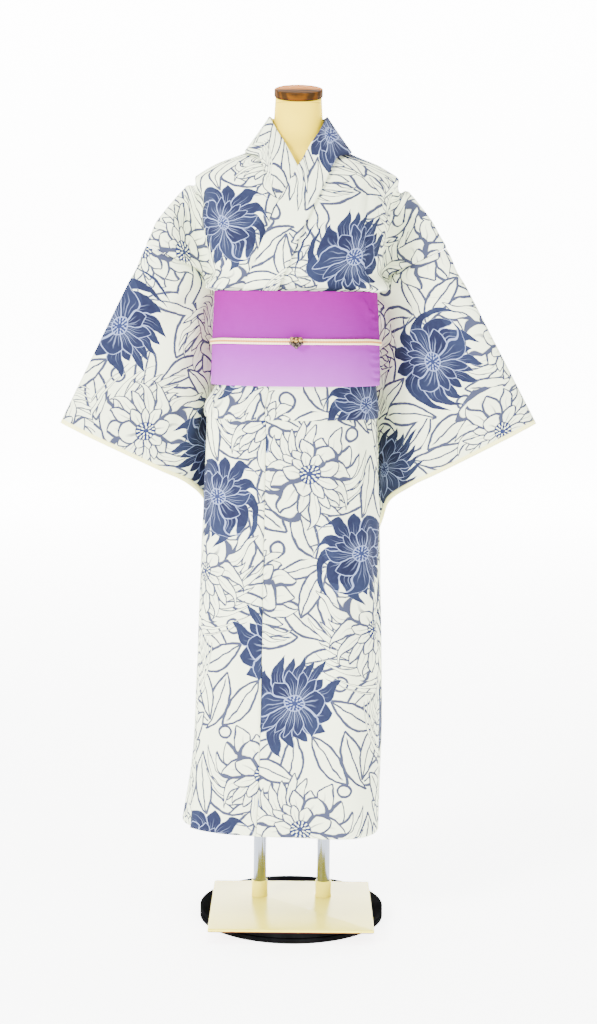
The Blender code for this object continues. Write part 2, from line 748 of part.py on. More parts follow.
def make_cord(name):
    """A flat braid held closed round the obi."""
    rings = []
    out = OBI_WALL / 2.0 + CORD_GAP + CORD_THICKNESS / 2.0
    for step in range(CORD_STEPS):
        turn = 360.0 * step / CORD_STEPS - 180.0
        height = CORD_HEIGHT - CORD_DIP * smooth((abs(turn) - CORD_DIP_FROM) / CORD_DIP_RUN)
        lap_start = CORD_LAP_RIGHT if turn > 0.0 else CORD_LAP_LEFT
        lap = OBI_LAP * smooth((abs(turn) - lap_start) / CORD_LAP_RUN)
        centre = figure_point(height, turn, out + lap, rows=OBI)
        ahead = figure_point(height, turn + 1.0, out + lap, rows=OBI)
        along = (ahead - centre).normalized()
        outward = Vector((along.y, -along.x, 0.0))
        ring = []
        for corner in range(CORD_SIDES):
            angle = 2.0 * math.pi * (corner + 0.5) / CORD_SIDES
            across = 0.5 * CORD_THICKNESS * math.cos(angle) / math.cos(math.pi / CORD_SIDES)
            upward = 0.5 * CORD_WIDTH * math.sin(angle) / math.cos(math.pi / CORD_SIDES)
            ring.append(centre + outward * across + Vector((0.0, 0.0, upward)))
        rings.append(ring)
    shape = bmesh.new()
    lines = [[shape.verts.new(point) for point in ring] for ring in rings]
    for index, ring in enumerate(lines):
        following = lines[(index + 1) % CORD_STEPS]
        for corner in range(CORD_SIDES):
            after = (corner + 1) % CORD_SIDES
            shape.faces.new((ring[corner], ring[after], following[after], following[corner]))
    bmesh.ops.recalc_face_normals(shape, faces=shape.faces)
    mesh = bpy.data.meshes.new(name)
    shape.to_mesh(mesh)
    shape.free()
    mesh.shade_smooth()
    finish_object(bpy.data.objects.new(name, mesh), "cord_braid")


def block_object(name, size, centre, finish, bevel, segments=2):
    """A box with rounded edges."""
    mesh = bpy.data.meshes.new(name)
    shape = bmesh.new()
    bmesh.ops.create_cube(shape, size=1.0)
    bmesh.ops.scale(shape, vec=Vector(size), verts=shape.verts)
    shape.to_mesh(mesh)
    shape.free()
    item = bpy.data.objects.new(name, mesh)
    item.location = centre
    edge = item.modifiers.new("rounded", "BEVEL")
    edge.width = bevel
    edge.segments = segments
    finish_object(item, finish)
    return item


def make_knot(name):
    """A small flat knot closes the cord behind."""
    rear = table(OBI, "back", CORD_HEIGHT) + OBI_LAP + OBI_WALL / 2.0 + CORD_GAP + CORD_THICKNESS
    centre = (0.0, rear + 1.3 * SEAM + 0.5 * KNOT_SIZE[1], CORD_HEIGHT - CORD_DIP)
    block_object(name, KNOT_SIZE, centre, "cord_braid", KNOT_ROUND)


def make_ornament(name):
    """A heart-shaped cluster of beads on a small back plate, threaded on the cord."""
    front = table(OBI, "front", CORD_HEIGHT) + OBI_WALL / 2.0 + CORD_GAP + CORD_THICKNESS
    back_y = -(front + SEAM + ORNAMENT_BACK[1])
    mesh = bpy.data.meshes.new(name)
    shape = bmesh.new()
    bmesh.ops.create_uvsphere(shape, u_segments=12, v_segments=6, radius=1.0)
    bmesh.ops.scale(shape, vec=Vector(ORNAMENT_BACK), verts=shape.verts)
    shape.to_mesh(mesh)
    shape.free()
    item = bpy.data.objects.new(name, mesh)
    item.location = (0.0, back_y, ORNAMENT_HEIGHT)
    finish_object(item, "aged_gold")
    for index, (x, z, radius) in enumerate(BEADS[1:]):
        bead_mesh = bpy.data.meshes.new(f"bead_{index}")
        bead_shape = bmesh.new()
        bmesh.ops.create_uvsphere(bead_shape, u_segments=8, v_segments=5, radius=radius)
        bead_shape.to_mesh(bead_mesh)
        bead_shape.free()
        bead = bpy.data.objects.new(f"bead_{index}", bead_mesh)
        bead.location = (x, back_y - radius + BEAD_SUNK, ORNAMENT_HEIGHT + z)
        bead.hide_render = True
        bead.display_type = "WIRE"
        GUIDES.objects.link(bead)
        union = item.modifiers.new(f"bead_{index}", "BOOLEAN")
        union.operation = "UNION"
        union.solver = "EXACT"
        union.object = bead


def make_torso(name):
    """The padded form from hip to neck, cut off by a tilted plane at the top."""
    levels = [TORSO_BOTTOM, TORSO_BOTTOM + 0.3 * TORSO_RIM, TORSO_BOTTOM + TORSO_RIM]
    levels += [row[0] for row in FIGURE[1:] if row[0] > levels[-1]]
    rows = []
    for height in levels:
        inset = mix(TORSO_INSET, HIP_INSET, smooth((HIP_TOP - height) / (HIP_TOP - HIP_WIDEST)))
        rim = TORSO_RIM * max(1.0 - (height - TORSO_BOTTOM) / TORSO_RIM, 0.0) ** 2
        tilt = math.tan(NECK_TILT) * smooth((height - NECK_TILT_FROM) / (FIGURE[-1][0] - NECK_TILT_FROM))
        resting = smooth((height - RIDGE_LOW) / RIDGE_RUN) * smooth((RIDGE_HIGH - height) / RIDGE_RUN)
        row = []
        for step in range(TORSO_SIDES):
            turn = 360.0 * step / TORSO_SIDES
            sideways = smooth((abs(math.sin(math.radians(turn))) - RIDGE_FROM) / (1.0 - RIDGE_FROM))
            depth = mix(inset, RIDGE_INSET, sideways * resting) + rim
            point = figure_point(height, turn, -depth)
            point.z += tilt * point.y
            row.append(point)
        rows.append(row)
    shape = bmesh.new()
    lines = [[shape.verts.new(point) for point in row] for row in rows]
    for lower, upper in zip(lines, lines[1:]):
        for step in range(TORSO_SIDES):
            after = (step + 1) % TORSO_SIDES
            shape.faces.new((lower[step], lower[after], upper[after], upper[step]))
    shape.faces.new(lines[0])
    shape.faces.new(lines[-1])
    bmesh.ops.recalc_face_normals(shape, faces=shape.faces)
    mesh = bpy.data.meshes.new(name)
    shape.to_mesh(mesh)
    shape.free()
    mesh.shade_smooth()
    finish_object(bpy.data.objects.new(name, mesh), "form_cloth")


def turned_object(name, profile, centre, finish, sides=ROUND_SIDES, tilt=0.0):
    """Turn a profile of (radius, height) points, from its top axis point down its outer side."""
    mesh = bpy.data.meshes.new(name)
    shape = bmesh.new()
    points = [shape.verts.new((radius, 0.0, height)) for radius, height in profile]
    for first, second in zip(points, points[1:]):
        shape.edges.new((first, second))
    shape.to_mesh(mesh)
    shape.free()
    item = bpy.data.objects.new(name, mesh)
    item.location = centre
    item.rotation_euler = (tilt, 0.0, 0.0)
    screw = item.modifiers.new("turned", "SCREW")
    screw.steps = sides
    screw.render_steps = sides
    screw.use_merge_vertices = True
    screw.merge_threshold = 0.00001
    screw.use_smooth_shade = True
    finish_object(item, finish)
    return item


def rounded_disc(radius, low, high, edge=DISC_ROUND):
    """Profile of a disc with small rounded edges, from the top of the axis to its bottom."""
    profile = [(0.0, high), (radius - edge, high)]
    for step in (1, 2):
        angle = math.pi * step / 6.0
        profile.append((radius - edge + edge * math.sin(angle), high - edge + edge * math.cos(angle)))
    profile += [(radius, high - edge), (radius, low + edge)]
    for step in (1, 2):
        angle = math.pi * step / 6.0
        profile.append((radius - edge + edge * math.cos(angle), low + edge - edge * math.sin(angle)))
    profile += [(radius - edge, low), (0.0, low)]
    return profile


def make_cap(name):
    """The turned wooden cap on the neck, tilted forward with it."""
    profile = [(0.0, CAP_THICKNESS + CAP_CROWN)]
    for share in (0.4, 0.7, 0.9):
        radius = CAP_RADIUS * share
        profile.append((radius, CAP_THICKNESS + CAP_CROWN * (1.0 - share ** 2)))
    profile += [
        (CAP_RADIUS - CAP_ROUND, CAP_THICKNESS),
        (CAP_RADIUS, CAP_THICKNESS - CAP_ROUND),
        (CAP_RADIUS, CAP_ROUND),
        (CAP_RADIUS - CAP_ROUND, 0.0),
        (0.0, 0.0),
    ]
    lift = SEAM
    centre = (0.0, -math.sin(NECK_TILT) * lift, CAP_HEIGHT + math.cos(NECK_TILT) * lift)
    turned_object(name, profile, centre, "lacquered_wood", tilt=NECK_TILT)


def make_stand():
    top_of_disc = DISC_LOWER + DISC_GAP + DISC_UPPER
    centre = (0.0, DISC_CENTRE_Y, 0.0)
    lower = rounded_disc(DISC_RADIUS, 0.0, DISC_LOWER)
    bearing = [
        (0.0, DISC_LOWER + DISC_GAP - SEAM),
        (BEARING_RADIUS, DISC_LOWER + DISC_GAP - SEAM),
        (BEARING_RADIUS + DISC_GAP, DISC_LOWER),
    ]
    turned_object("turntable_base", bearing + lower[1:], centre, "black_plastic")
    upper = rounded_disc(DISC_RADIUS, DISC_LOWER + DISC_GAP, top_of_disc)
    turned_object("turntable_top", upper, centre, "black_plastic")
    plate_low = top_of_disc + SEAM
    plate_top = plate_low + PLATE_SIZE[2]
    plate_centre = (0.0, PLATE_CENTRE_Y, plate_low + 0.5 * PLATE_SIZE[2])
    block_object("base_plate", PLATE_SIZE, plate_centre, "cream_enamel", PLATE_BEVEL)
    for name, side in (("left", -1), ("right", 1)):
        foot = (side * 0.5 * LEG_SPACING, 0.0, plate_top + SEAM)
        bore = LEG_RADIUS + SEAM
        socket = [
            (bore, SOCKET_HEIGHT),
            (SOCKET_RADIUS - SOCKET_ROUND, SOCKET_HEIGHT),
            (SOCKET_RADIUS, SOCKET_HEIGHT - SOCKET_ROUND),
            (SOCKET_RADIUS, 0.0),
            (bore, 0.0),
            (bore, SOCKET_HEIGHT),
        ]
        turned_object(f"leg_socket_{name}", socket, foot, "cream_enamel", sides=LEG_SIDES)
        length = TORSO_BOTTOM - SEAM - foot[2]
        tube = [(0.0, length), (LEG_RADIUS, length), (LEG_RADIUS, 0.0), (0.0, 0.0)]
        turned_object(f"leg_tube_{name}", tube, foot, "chrome", sides=LEG_SIDES)


def new_collection(name):
    collection = bpy.data.collections.new(name)
    bpy.context.scene.collection.children.link(collection)
    return collection


def build_part():
    make_stand()
    make_torso("form_torso")
    make_cap("neck_cap")
    make_body("body_right", -1)
    make_okumi("overlap_right", -1)
    make_body("body_left", 1)
    make_okumi("overlap_left", 1)
    make_collar("collar")
    make_sleeve("sleeve_right", -1)
    make_sleeve("sleeve_left", 1)
    make_obi("obi")
    make_cord("obi_cord")
    make_knot("cord_knot")
    make_ornament("cord_ornament")


for old in list(bpy.data.objects):
    bpy.data.objects.remove(old)
PARTS = new_collection(PART_NAME)
GUIDES = new_collection("guides")
MATERIALS = make_materials()
build_part()
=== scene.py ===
"""Looks of the cotton yukata on its dress form: cloth with its folds and print, obi, cord and stand."""
import math

import bmesh
import bpy
import numpy as np
from mathutils import Matrix, Vector


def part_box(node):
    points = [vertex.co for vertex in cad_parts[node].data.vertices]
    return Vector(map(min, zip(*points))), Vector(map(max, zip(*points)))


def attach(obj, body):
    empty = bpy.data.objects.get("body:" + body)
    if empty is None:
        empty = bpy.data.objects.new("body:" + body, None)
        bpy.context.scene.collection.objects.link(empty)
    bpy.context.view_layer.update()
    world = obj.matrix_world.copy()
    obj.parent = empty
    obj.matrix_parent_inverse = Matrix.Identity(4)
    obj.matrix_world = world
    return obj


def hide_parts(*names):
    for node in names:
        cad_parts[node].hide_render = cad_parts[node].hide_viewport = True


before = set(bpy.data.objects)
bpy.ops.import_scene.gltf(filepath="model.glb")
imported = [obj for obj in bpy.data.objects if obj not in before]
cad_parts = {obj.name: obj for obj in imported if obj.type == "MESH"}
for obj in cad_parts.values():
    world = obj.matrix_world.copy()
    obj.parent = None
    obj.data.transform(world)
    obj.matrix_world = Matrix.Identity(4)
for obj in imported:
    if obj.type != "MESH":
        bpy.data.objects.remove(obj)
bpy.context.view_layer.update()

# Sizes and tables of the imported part, repeated here because the cloth follows them.
WALL = 0.0012
SEAM = 0.0003
LAYER = 0.0024
TURN_LAYERS = 3.25
COLLAR_WALL = 0.0022
COLLAR_RISE_RIGHT = 0.0030
COLLAR_RISE_LEFT = 0.0034
NECK_RISE = 0.0060
NECK_RISE_FROM = 1.240
NECK_RISE_RUN = 0.060
SQUARENESS = 2.3
FRONT_CORNER = 0.042
CORNER_TOP = 0.860
CORNER_RUN = 0.400
INNER_EDGE_TURN = 66.0
OKUMI_SEAM_TURN = 15.0
VALLEY_TURN = 80.0
BACK_VALLEY_TURN = 128.0
RIDGE_TURN = 90.0
CHEST_COLUMNS = 6
WING_COLUMNS = 5
BODY_COLUMNS = CHEST_COLUMNS + WING_COLUMNS
FIGURE = (
    ("height", "left", "right", "front", "back"),
    (0.157, 0.1840, 0.1390, 0.1120, 0.1180),
    (0.257, 0.1700, 0.1400, 0.1120, 0.1170),
    (0.340, 0.1640, 0.1410, 0.1110, 0.1160),
    (0.447, 0.1590, 0.1400, 0.1110, 0.1160),
    (0.533, 0.1560, 0.1370, 0.1100, 0.1150),
    (0.705, 0.1510, 0.1355, 0.1080, 0.1150),
    (0.826, 0.1480, 0.1345, 0.1050, 0.1120),
    (0.869, 0.1490, 0.1305, 0.1020, 0.1080),
    (0.905, 0.1282, 0.1255, 0.0947, 0.0945),
    (0.980, 0.1242, 0.1235, 0.0937, 0.0920),
    (1.070, 0.1242, 0.1210, 0.0957, 0.0910),
    (1.120, 0.1420, 0.1350, 0.1020, 0.0970),
    (1.150, 0.1460, 0.1400, 0.1030, 0.1000),
    (1.190, 0.1540, 0.1480, 0.0980, 0.1000),
    (1.226, 0.1630, 0.1570, 0.0890, 0.0960),
    (1.245, 0.1740, 0.1700, 0.0830, 0.0910),
    (1.259, 0.1760, 0.1730, 0.0780, 0.0860),
    (1.271, 0.1610, 0.1570, 0.0740, 0.0800),
    (1.283, 0.1390, 0.1370, 0.0690, 0.0740),
    (1.292, 0.1150, 0.1140, 0.0640, 0.0690),
    (1.300, 0.0940, 0.0940, 0.0590, 0.0650),
    (1.310, 0.0740, 0.0740, 0.0520, 0.0600),
    (1.325, 0.0540, 0.0540, 0.0490, 0.0520),
    (1.345, 0.0475, 0.0475, 0.0470, 0.0480),
    (1.366, 0.0458, 0.0458, 0.0450, 0.0460),
    (1.400, 0.0440, 0.0440, 0.0430, 0.0430),
)
SHOULDER_FOLD = (
    ("height", "left", "right"),
    (1.142, 0.2600, 0.2570),
    (1.160, 0.2530, 0.2475),
    (1.176, 0.2460, 0.2380),
    (1.196, 0.2370, 0.2260),
    (1.212, 0.2280, 0.2170),
    (1.228, 0.2170, 0.2080),
    (1.245, 0.1960, 0.1910),
    (1.259, 0.1790, 0.1765),
)
SEAM_TOP = 1.142
SHOULDER_TIP = 1.259
SHOULDER_RUN = 0.075
EASE_FROM = 1.190
EASE_SPREAD = 1.15
RIDGE_EASE = 0.03
SKIRT_ROWS = (0.157, 0.257, 0.360, 0.470, 0.580, 0.690, 0.780)
FOLD_TOP = 0.930
FOLD_BOTTOM = 0.853
FOLD_TURN = 0.0026
FOLD_ROWS = (
    (FOLD_BOTTOM, 0.0),
    (0.8700, 0.0),
    (0.9000, 0.0),
    (FOLD_TOP, 0.0),
    (FOLD_TOP + FOLD_TURN, 0.5),
    (FOLD_TOP, 1.0),
    (0.9000, 1.0),
    (0.8700, 1.0),
    (FOLD_BOTTOM, 1.0),
    (FOLD_BOTTOM - FOLD_TURN, 1.5),
    (FOLD_BOTTOM, 2.0),
    (0.8700, 2.0),
    (0.9000, 2.0),
    (FOLD_TOP, 2.0),
    (0.9850, 2.0),
    (1.0300, 2.0),
    (1.0700, 2.0),
)
CHEST_LAYER = 2.0
UPRIGHT_FROM = FOLD_TOP
UPRIGHT_RUN = 0.055
SHOULDER_ROWS = (1.163, 1.186, 1.208, 1.228, 1.245, 1.259, 1.271, 1.283, 1.292, 1.300, 1.309)
SIDE_SEAM = (
    ("height", "turn"),
    (0.157, 74.0),
    (0.700, 80.0),
    (0.870, 90.0),
    (1.070, 104.0),
)
BACK_NECK = (
    ("height", "turn"),
    (1.300, 180.0),
    (1.309, 150.0),
)
SLEEVE_WIDTH = 0.340
SLEEVE_LENGTH = 0.490
CUFF_OPENING = 0.230
SLEEVE_SLOPE_LEFT = math.radians(64.7)
SLEEVE_SLOPE_RIGHT = math.radians(62.4)
HANG_SLOPE = math.radians(62.0)
HANG_START = 0.075
HANG_END = 0.165
HANG_STEPS = 98
HOLLOW = 0.0095
FOLD_ROUND = 0.040
CUFF_GAPE = 0.9
CUFF_RUN = 0.025
GAPE_FROM = 0.200
GAPE_RUN = 0.070
SEWN_FROM = 0.290
SEWN_GAP = 0.0011
ARMHOLE_PINCH = 0.86
FREE_EDGE_STEP = 0.012
FREE_FROM = 0.090
FREE_RUN = 0.060
SLEEVE_START = 0.0010
ARMHOLE_V = (0.0, 0.006, 0.024, 0.050, 0.080, 0.112)
SLEEVE_V = ARMHOLE_V + (0.150, 0.195, 0.245, 0.300, 0.355, 0.410, 0.450, 0.474, 0.485, 0.490)
SLEEVE_P = (SLEEVE_START, 0.055, 0.110, 0.165, 0.215, 0.260, 0.296, 0.322, SLEEVE_WIDTH)
SLEEVE_PLAN = (
    ("side", "depth"),
    (0.460, 0.004),
    (0.400, 0.002),
    (0.330, 0.003),
    (0.257, 0.008),
    (0.208, 0.016),
    (0.182, 0.030),
    (0.166, 0.052),
    (0.157, 0.080),
    (0.142, 0.106),
    (0.116, 0.126),
    (0.085, 0.138),
    (0.045, 0.145),
    (0.000, 0.147),
)
PLAN_STEPS = 8
NORMAL_STEP = 0.004
VALLEY_DEPTH = 0.034
VALLEY_SIDE = 0.005
FRONT_WING_SIDE = 0.190
WING_RUN = 0.040
WING_SHARES = (0.0, 0.42, 0.76, 0.93, 1.0)
FOLD_FALL = math.radians(26.0)
NECK = (
    ("inner x", "inner y", "inner z", "outer turn", "outer z"),
    (0.0000, 0.0610, 1.3570, 180.0, 1.2980),
    (0.0270, 0.0530, 1.3610, 150.0, 1.2990),
    (0.0440, 0.0300, 1.3650, 121.0, 1.3040),
    (0.0495, 0.0000, 1.3660, 94.0, 1.3080),
    (0.0485, -0.0120, 1.3620, 74.0, 1.3050),
    (0.0465, -0.0200, 1.3575, 56.0, 1.2995),
)
COLLAR = (
    ("inner x", "inner y", "inner z", "outer x", "outer z"),
    (0.0440, -0.0270, 1.3530, 0.0680, 1.2930),
    (0.0353, -0.0400, 1.3370, 0.0610, 1.2820),
    (0.0239, -0.0570, 1.3190, 0.0545, 1.2680),
    (0.0125, -0.0720, 1.2980, 0.0485, 1.2530),
    (0.0000, None, 1.2750, 0.0385, 1.2320),
    (-0.0170, None, 1.2430, 0.0255, 1.2050),
    (-0.0333, None, 1.2110, 0.0125, 1.1750),
    (-0.0470, None, 1.1780, 0.0000, 1.1440),
    (-0.0620, None, 1.1400, -0.0125, 1.1120),
    (-0.0765, None, 1.1030, -0.0240, 1.0850),
    (-0.0888, None, 1.0700, -0.0345, 1.0580),
    (-0.1020, None, 1.0200, -0.0480, 1.0100),
    (-0.1070, None, 0.9900, -0.0530, 0.9820),
)
COLLAR_SEAM_SHARE = 0.72
COLLAR_ROUND = (0.0, -0.003, 0.001)
CHEST_EASE = 0.008
OKUMI_SKIRT = (
    ("height", "edge turn"),
    (0.157, 60.0),
    (0.257, 65.0),
    (0.430, 69.0),
    (0.835, 69.0),
    (0.925, 58.0),
)
OKUMI_CHEST = (
    ("height", "edge turn"),
    (0.850, 57.0),
    (0.900, 52.0),
    (0.930, 46.0),
    (0.985, 34.0),
    (1.030, 20.0),
)
OKUMI_COLUMNS = 4
OKUMI_GAP = 0.00042
OBI = (
    ("height", "left", "right", "front", "back"),
    (0.9055, 0.1455, 0.1428, 0.1178, 0.1090),
    (0.9450, 0.1445, 0.1426, 0.1176, 0.1080),
    (0.9850, 0.1438, 0.1424, 0.1174, 0.1075),
    (1.0250, 0.1424, 0.1405, 0.1178, 0.1075),
    (1.0650, 0.1408, 0.1380, 0.1183, 0.1080),
)
OBI_WALL = 0.0020
OBI_START_TURN = -150.0
OBI_END_TURN = 248.0
OBI_LAP = 0.0032
OBI_LAP_FROM = 165.0
OBI_LAP_RUN = 45.0
CORD_HEIGHT = 0.9805
CORD_WIDTH = 0.0105
CORD_THICKNESS = 0.0050
CORD_DIP = 0.0035
CORD_DIP_FROM = 50.0
CORD_DIP_RUN = 40.0
CORD_LAP_RIGHT = 140.0
CORD_LAP_LEFT = 86.0
CORD_LAP_RUN = 24.0
CORD_GAP = 0.0006
ORNAMENT_HEIGHT = 0.9800
ORNAMENT_BACK = (0.0105, 0.0022, 0.0090)
BEAD_SUNK = 0.0016
BEADS = (
    ("x", "z", "radius"),
    (-0.0068, 0.0042, 0.0042),
    (0.0068, 0.0042, 0.0042),
    (0.0000, 0.0030, 0.0040),
    (-0.0090, -0.0012, 0.0030),
    (0.0090, -0.0012, 0.0030),
    (-0.0045, -0.0030, 0.0036),
    (0.0045, -0.0030, 0.0036),
    (0.0000, -0.0078, 0.0034),
)
TORSO_BOTTOM = 0.720
TORSO_INSET = 0.0040
RIDGE_INSET = 0.0024
HIP_INSET = 0.0160
HIP_TOP = 0.950
HIP_WIDEST = 0.860
TORSO_RIM = 0.014
RIDGE_LOW = 1.250
RIDGE_HIGH = 1.312
RIDGE_RUN = 0.010
RIDGE_FROM = 0.93
NECK_TILT_FROM = 1.345
NECK_TILT = math.radians(17.0)
CAP_HEIGHT = 1.4003
CAP_RADIUS = 0.0420
CAP_THICKNESS = 0.0135
CAP_CROWN = 0.0025
CAP_ROUND = 0.0014
LEG_RADIUS = 0.0110
SOCKET_RADIUS = 0.0136
SOCKET_HEIGHT = 0.0270
DISC_CENTRE_Y = -0.025
DISC_RADIUS = 0.1555
DISC_LOWER = 0.0085
DISC_GAP = 0.0012
DISC_UPPER = 0.0088
DISC_ROUND = 0.0012

# Fineness of the modelled cloth and rough half widths of the figure, for directions round it.
CLOTH_STEP = 0.007
COLLAR_STEP = 0.005
FIGURE_WIDE = 0.145
FIGURE_DEEP = 0.115
FIGURE_ROUND = 0.130

# How a fold is drawn: its wander, its faded ends and the ridge beside its trough, in shares of its size.
FOLD_GAIN = 1.8
FOLD_WANDER = 0.25
FOLD_BENDS = 9.0
FOLD_PHASE = 40.0
FOLD_PAST_END = 0.12
FOLD_FADE = 0.35
FOLD_RIDGE = 0.55
FOLD_RIDGE_PLACE = 1.8
FOLD_RIDGE_WIDTH = 1.2

# Where swells and folds begin and fade: metres of height or along the sleeve, and shares of it at the cuff.
SKIRT_WAVES_TOP = 0.87
SKIRT_WAVES_RUN = 0.30
CHEST_FOLDS_FROM = 1.066
CHEST_FOLDS_RUN = 0.030
SLEEVE_WAVES_SHIFT = 0.13
SLEEVE_CALM_TOP = 0.10
SLEEVE_CALM_SEAM = 0.06
SLEEVE_CALM_BOTTOM = 0.05
CUFF_CALM = 0.6
CUFF_CALM_FROM = 0.8

# Folds on the layers round the figure: a line from (around, height) to another, its width and depth.
FRONT_CREASES = (
    ("around", "height", "around end", "height end", "width", "depth"),
    (0.020, 0.835, 0.034, 0.330, 0.016, 0.0022),
    (-0.012, 0.845, -0.022, 0.560, 0.010, 0.0015),
    (0.072, 0.840, 0.088, 0.240, 0.014, 0.0022),
    (0.118, 0.845, 0.128, 0.400, 0.011, 0.0020),
    (-0.060, 0.500, -0.070, 0.150, 0.013, 0.0018),
    (-0.108, 0.800, -0.118, 0.420, 0.010, 0.0016),
    (0.180, 0.840, 0.205, 0.200, 0.016, 0.0032),
    (0.255, 0.845, 0.270, 0.330, 0.013, 0.0030),
    (0.330, 0.840, 0.330, 0.170, 0.018, 0.0036),
    (0.395, 0.845, 0.385, 0.420, 0.012, 0.0026),
    (-0.180, 0.840, -0.200, 0.260, 0.015, 0.0032),
    (-0.250, 0.845, -0.262, 0.180, 0.017, 0.0034),
    (-0.320, 0.840, -0.312, 0.380, 0.013, 0.0028),
    (-0.385, 0.845, -0.372, 0.210, 0.015, 0.0030),
    (-0.050, 0.903, -0.038, 0.862, 0.005, 0.0010),
    (0.030, 0.904, 0.022, 0.866, 0.004, 0.0009),
    (0.110, 0.903, 0.128, 0.858, 0.006, 0.0012),
    (-0.130, 0.903, -0.146, 0.860, 0.006, 0.0012),
    (0.240, 0.903, 0.250, 0.860, 0.007, 0.0014),
    (-0.230, 0.903, -0.244, 0.858, 0.006, 0.0013),
    (0.345, 0.903, 0.350, 0.862, 0.006, 0.0012),
)
SKIRT_WAVES = (
    ("per metre round", "per metre up", "phase", "height"),
    (4.3, 0.5, 0.4, 0.0010),
    (7.7, -0.8, 2.1, 0.0006),
    (1.9, 1.4, 4.0, 0.0008),
)

# Folds on the chest and the upper back: lines in (side, height).
CHEST_FRONT_CREASES = (
    ("side", "height", "side end", "height end", "width", "depth"),
    (0.1165, 1.245, 0.1170, 1.045, 0.0042, 0.0030),
    (0.175, 1.248, 0.128, 1.165, 0.011, 0.0018),
    (0.150, 1.215, 0.131, 1.110, 0.009, 0.0020),
    (-0.172, 1.246, -0.128, 1.150, 0.011, 0.0020),
    (-0.140, 1.205, -0.118, 1.090, 0.010, 0.0022),
    (-0.098, 1.135, -0.090, 1.060, 0.006, 0.0018),
    (-0.062, 1.110, -0.056, 1.060, 0.005, 0.0012),
    (0.052, 1.120, 0.050, 1.060, 0.006, 0.0014),
    (0.088, 1.130, 0.084, 1.060, 0.006, 0.0016),
    (0.205, 1.215, 0.176, 1.120, 0.010, 0.0020),
    (-0.208, 1.215, -0.180, 1.120, 0.010, 0.0020),
)
CHEST_BACK_CREASES = (
    ("side", "height", "side end", "height end", "width", "depth"),
    (0.150, 1.240, 0.105, 1.120, 0.013, 0.0026),
    (-0.152, 1.238, -0.108, 1.110, 0.013, 0.0026),
    (0.185, 1.220, 0.155, 1.090, 0.012, 0.0024),
    (-0.188, 1.220, -0.158, 1.085, 0.012, 0.0024),
    (0.060, 1.150, 0.052, 1.060, 0.008, 0.0018),
    (-0.050, 1.160, -0.048, 1.060, 0.008, 0.0018),
    (0.098, 1.110, 0.092, 1.060, 0.006, 0.0016),
    (-0.102, 1.115, -0.096, 1.060, 0.007, 0.0016),
)
CHEST_WAVES = (
    ("per metre across", "per metre up", "phase", "height"),
    (6.1, 2.2, 0.9, 0.0004),
    (11.0, -4.0, 2.6, 0.0002),
)

# Folds on the sleeves: lines in (distance from the seam, distance down from the top fold).
SLEEVE_CREASES = (
    ("across", "down", "across end", "down end", "width", "depth"),
    (0.020, 0.190, 0.300, 0.120, 0.017, 0.0030),
    (0.015, 0.240, 0.290, 0.245, 0.015, 0.0026),
    (0.020, 0.120, 0.210, 0.050, 0.012, 0.0022),
    (0.050, 0.330, 0.270, 0.420, 0.018, 0.0028),
    (0.100, 0.290, 0.320, 0.330, 0.013, 0.0022),
    (0.180, 0.070, 0.330, 0.030, 0.010, 0.0016),
    (0.210, 0.180, 0.335, 0.190, 0.011, 0.0018),
    (0.060, 0.400, 0.190, 0.470, 0.012, 0.0020),
)
SLEEVE_WAVES = (
    ("per metre across", "per metre down", "phase", "height"),
    (3.1, 2.0, 0.5, 0.0013),
    (5.2, -3.3, 1.8, 0.0008),
    (8.3, 6.4, 3.1, 0.0004),
)

# Folds on the sash: short pulls near its ends and a slanting one above the cord, in (around, height).
OBI_CREASES = (
    ("around", "height", "around end", "height end", "width", "depth"),
    (0.110, 1.060, 0.176, 1.012, 0.0061, 0.0015),
    (0.128, 1.052, 0.190, 1.044, 0.0038, 0.0011),
    (0.118, 1.036, 0.190, 1.033, 0.0035, 0.0009),
    (0.132, 1.022, 0.190, 1.021, 0.0034, 0.0011),
    (0.124, 1.004, 0.190, 1.006, 0.0035, 0.0008),
    (0.122, 0.968, 0.190, 0.966, 0.0035, 0.0011),
    (0.134, 0.957, 0.190, 0.953, 0.0032, 0.0011),
    (0.126, 0.944, 0.190, 0.940, 0.0035, 0.0012),
    (0.138, 0.932, 0.190, 0.927, 0.0032, 0.0011),
    (0.130, 0.920, 0.190, 0.915, 0.0032, 0.0009),
    (-0.190, 1.040, -0.128, 1.044, 0.0041, 0.0009),
    (-0.190, 1.016, -0.136, 1.017, 0.0038, 0.0008),
    (-0.190, 0.958, -0.126, 0.955, 0.0038, 0.0009),
    (-0.190, 0.936, -0.134, 0.931, 0.0035, 0.0009),
    (-0.190, 0.921, -0.142, 0.918, 0.0032, 0.0008),
    (0.300, 1.052, 0.390, 1.046, 0.0047, 0.0012),
    (0.305, 0.930, 0.385, 0.934, 0.0047, 0.0012),
    (-0.390, 0.948, -0.300, 0.942, 0.0047, 0.0012),
)
OBI_WAVES = (
    ("per metre round", "per metre up", "phase", "height"),
    (3.2, 4.0, 0.3, 0.0004),
    (9.0, -6.0, 1.7, 0.0002),
)

# Where each panel's print starts on the bolt, in metres across and along it.
BODY_RIGHT_PRINT = (0.000, 0.1875)
BODY_LEFT_PRINT = (0.015, 0.000)
OKUMI_RIGHT_PRINT = (0.060, 0.210)
OKUMI_LEFT_PRINT = (-0.050, -0.090)
SLEEVE_RIGHT_PRINT = (-0.216, 0.2025)
SLEEVE_LEFT_PRINT = (-0.117, 0.360)
COLLAR_PRINT = (0.010, -0.190)
CHEST_SHIFT = (0.100, 0.000)
SELVEDGE = 0.009

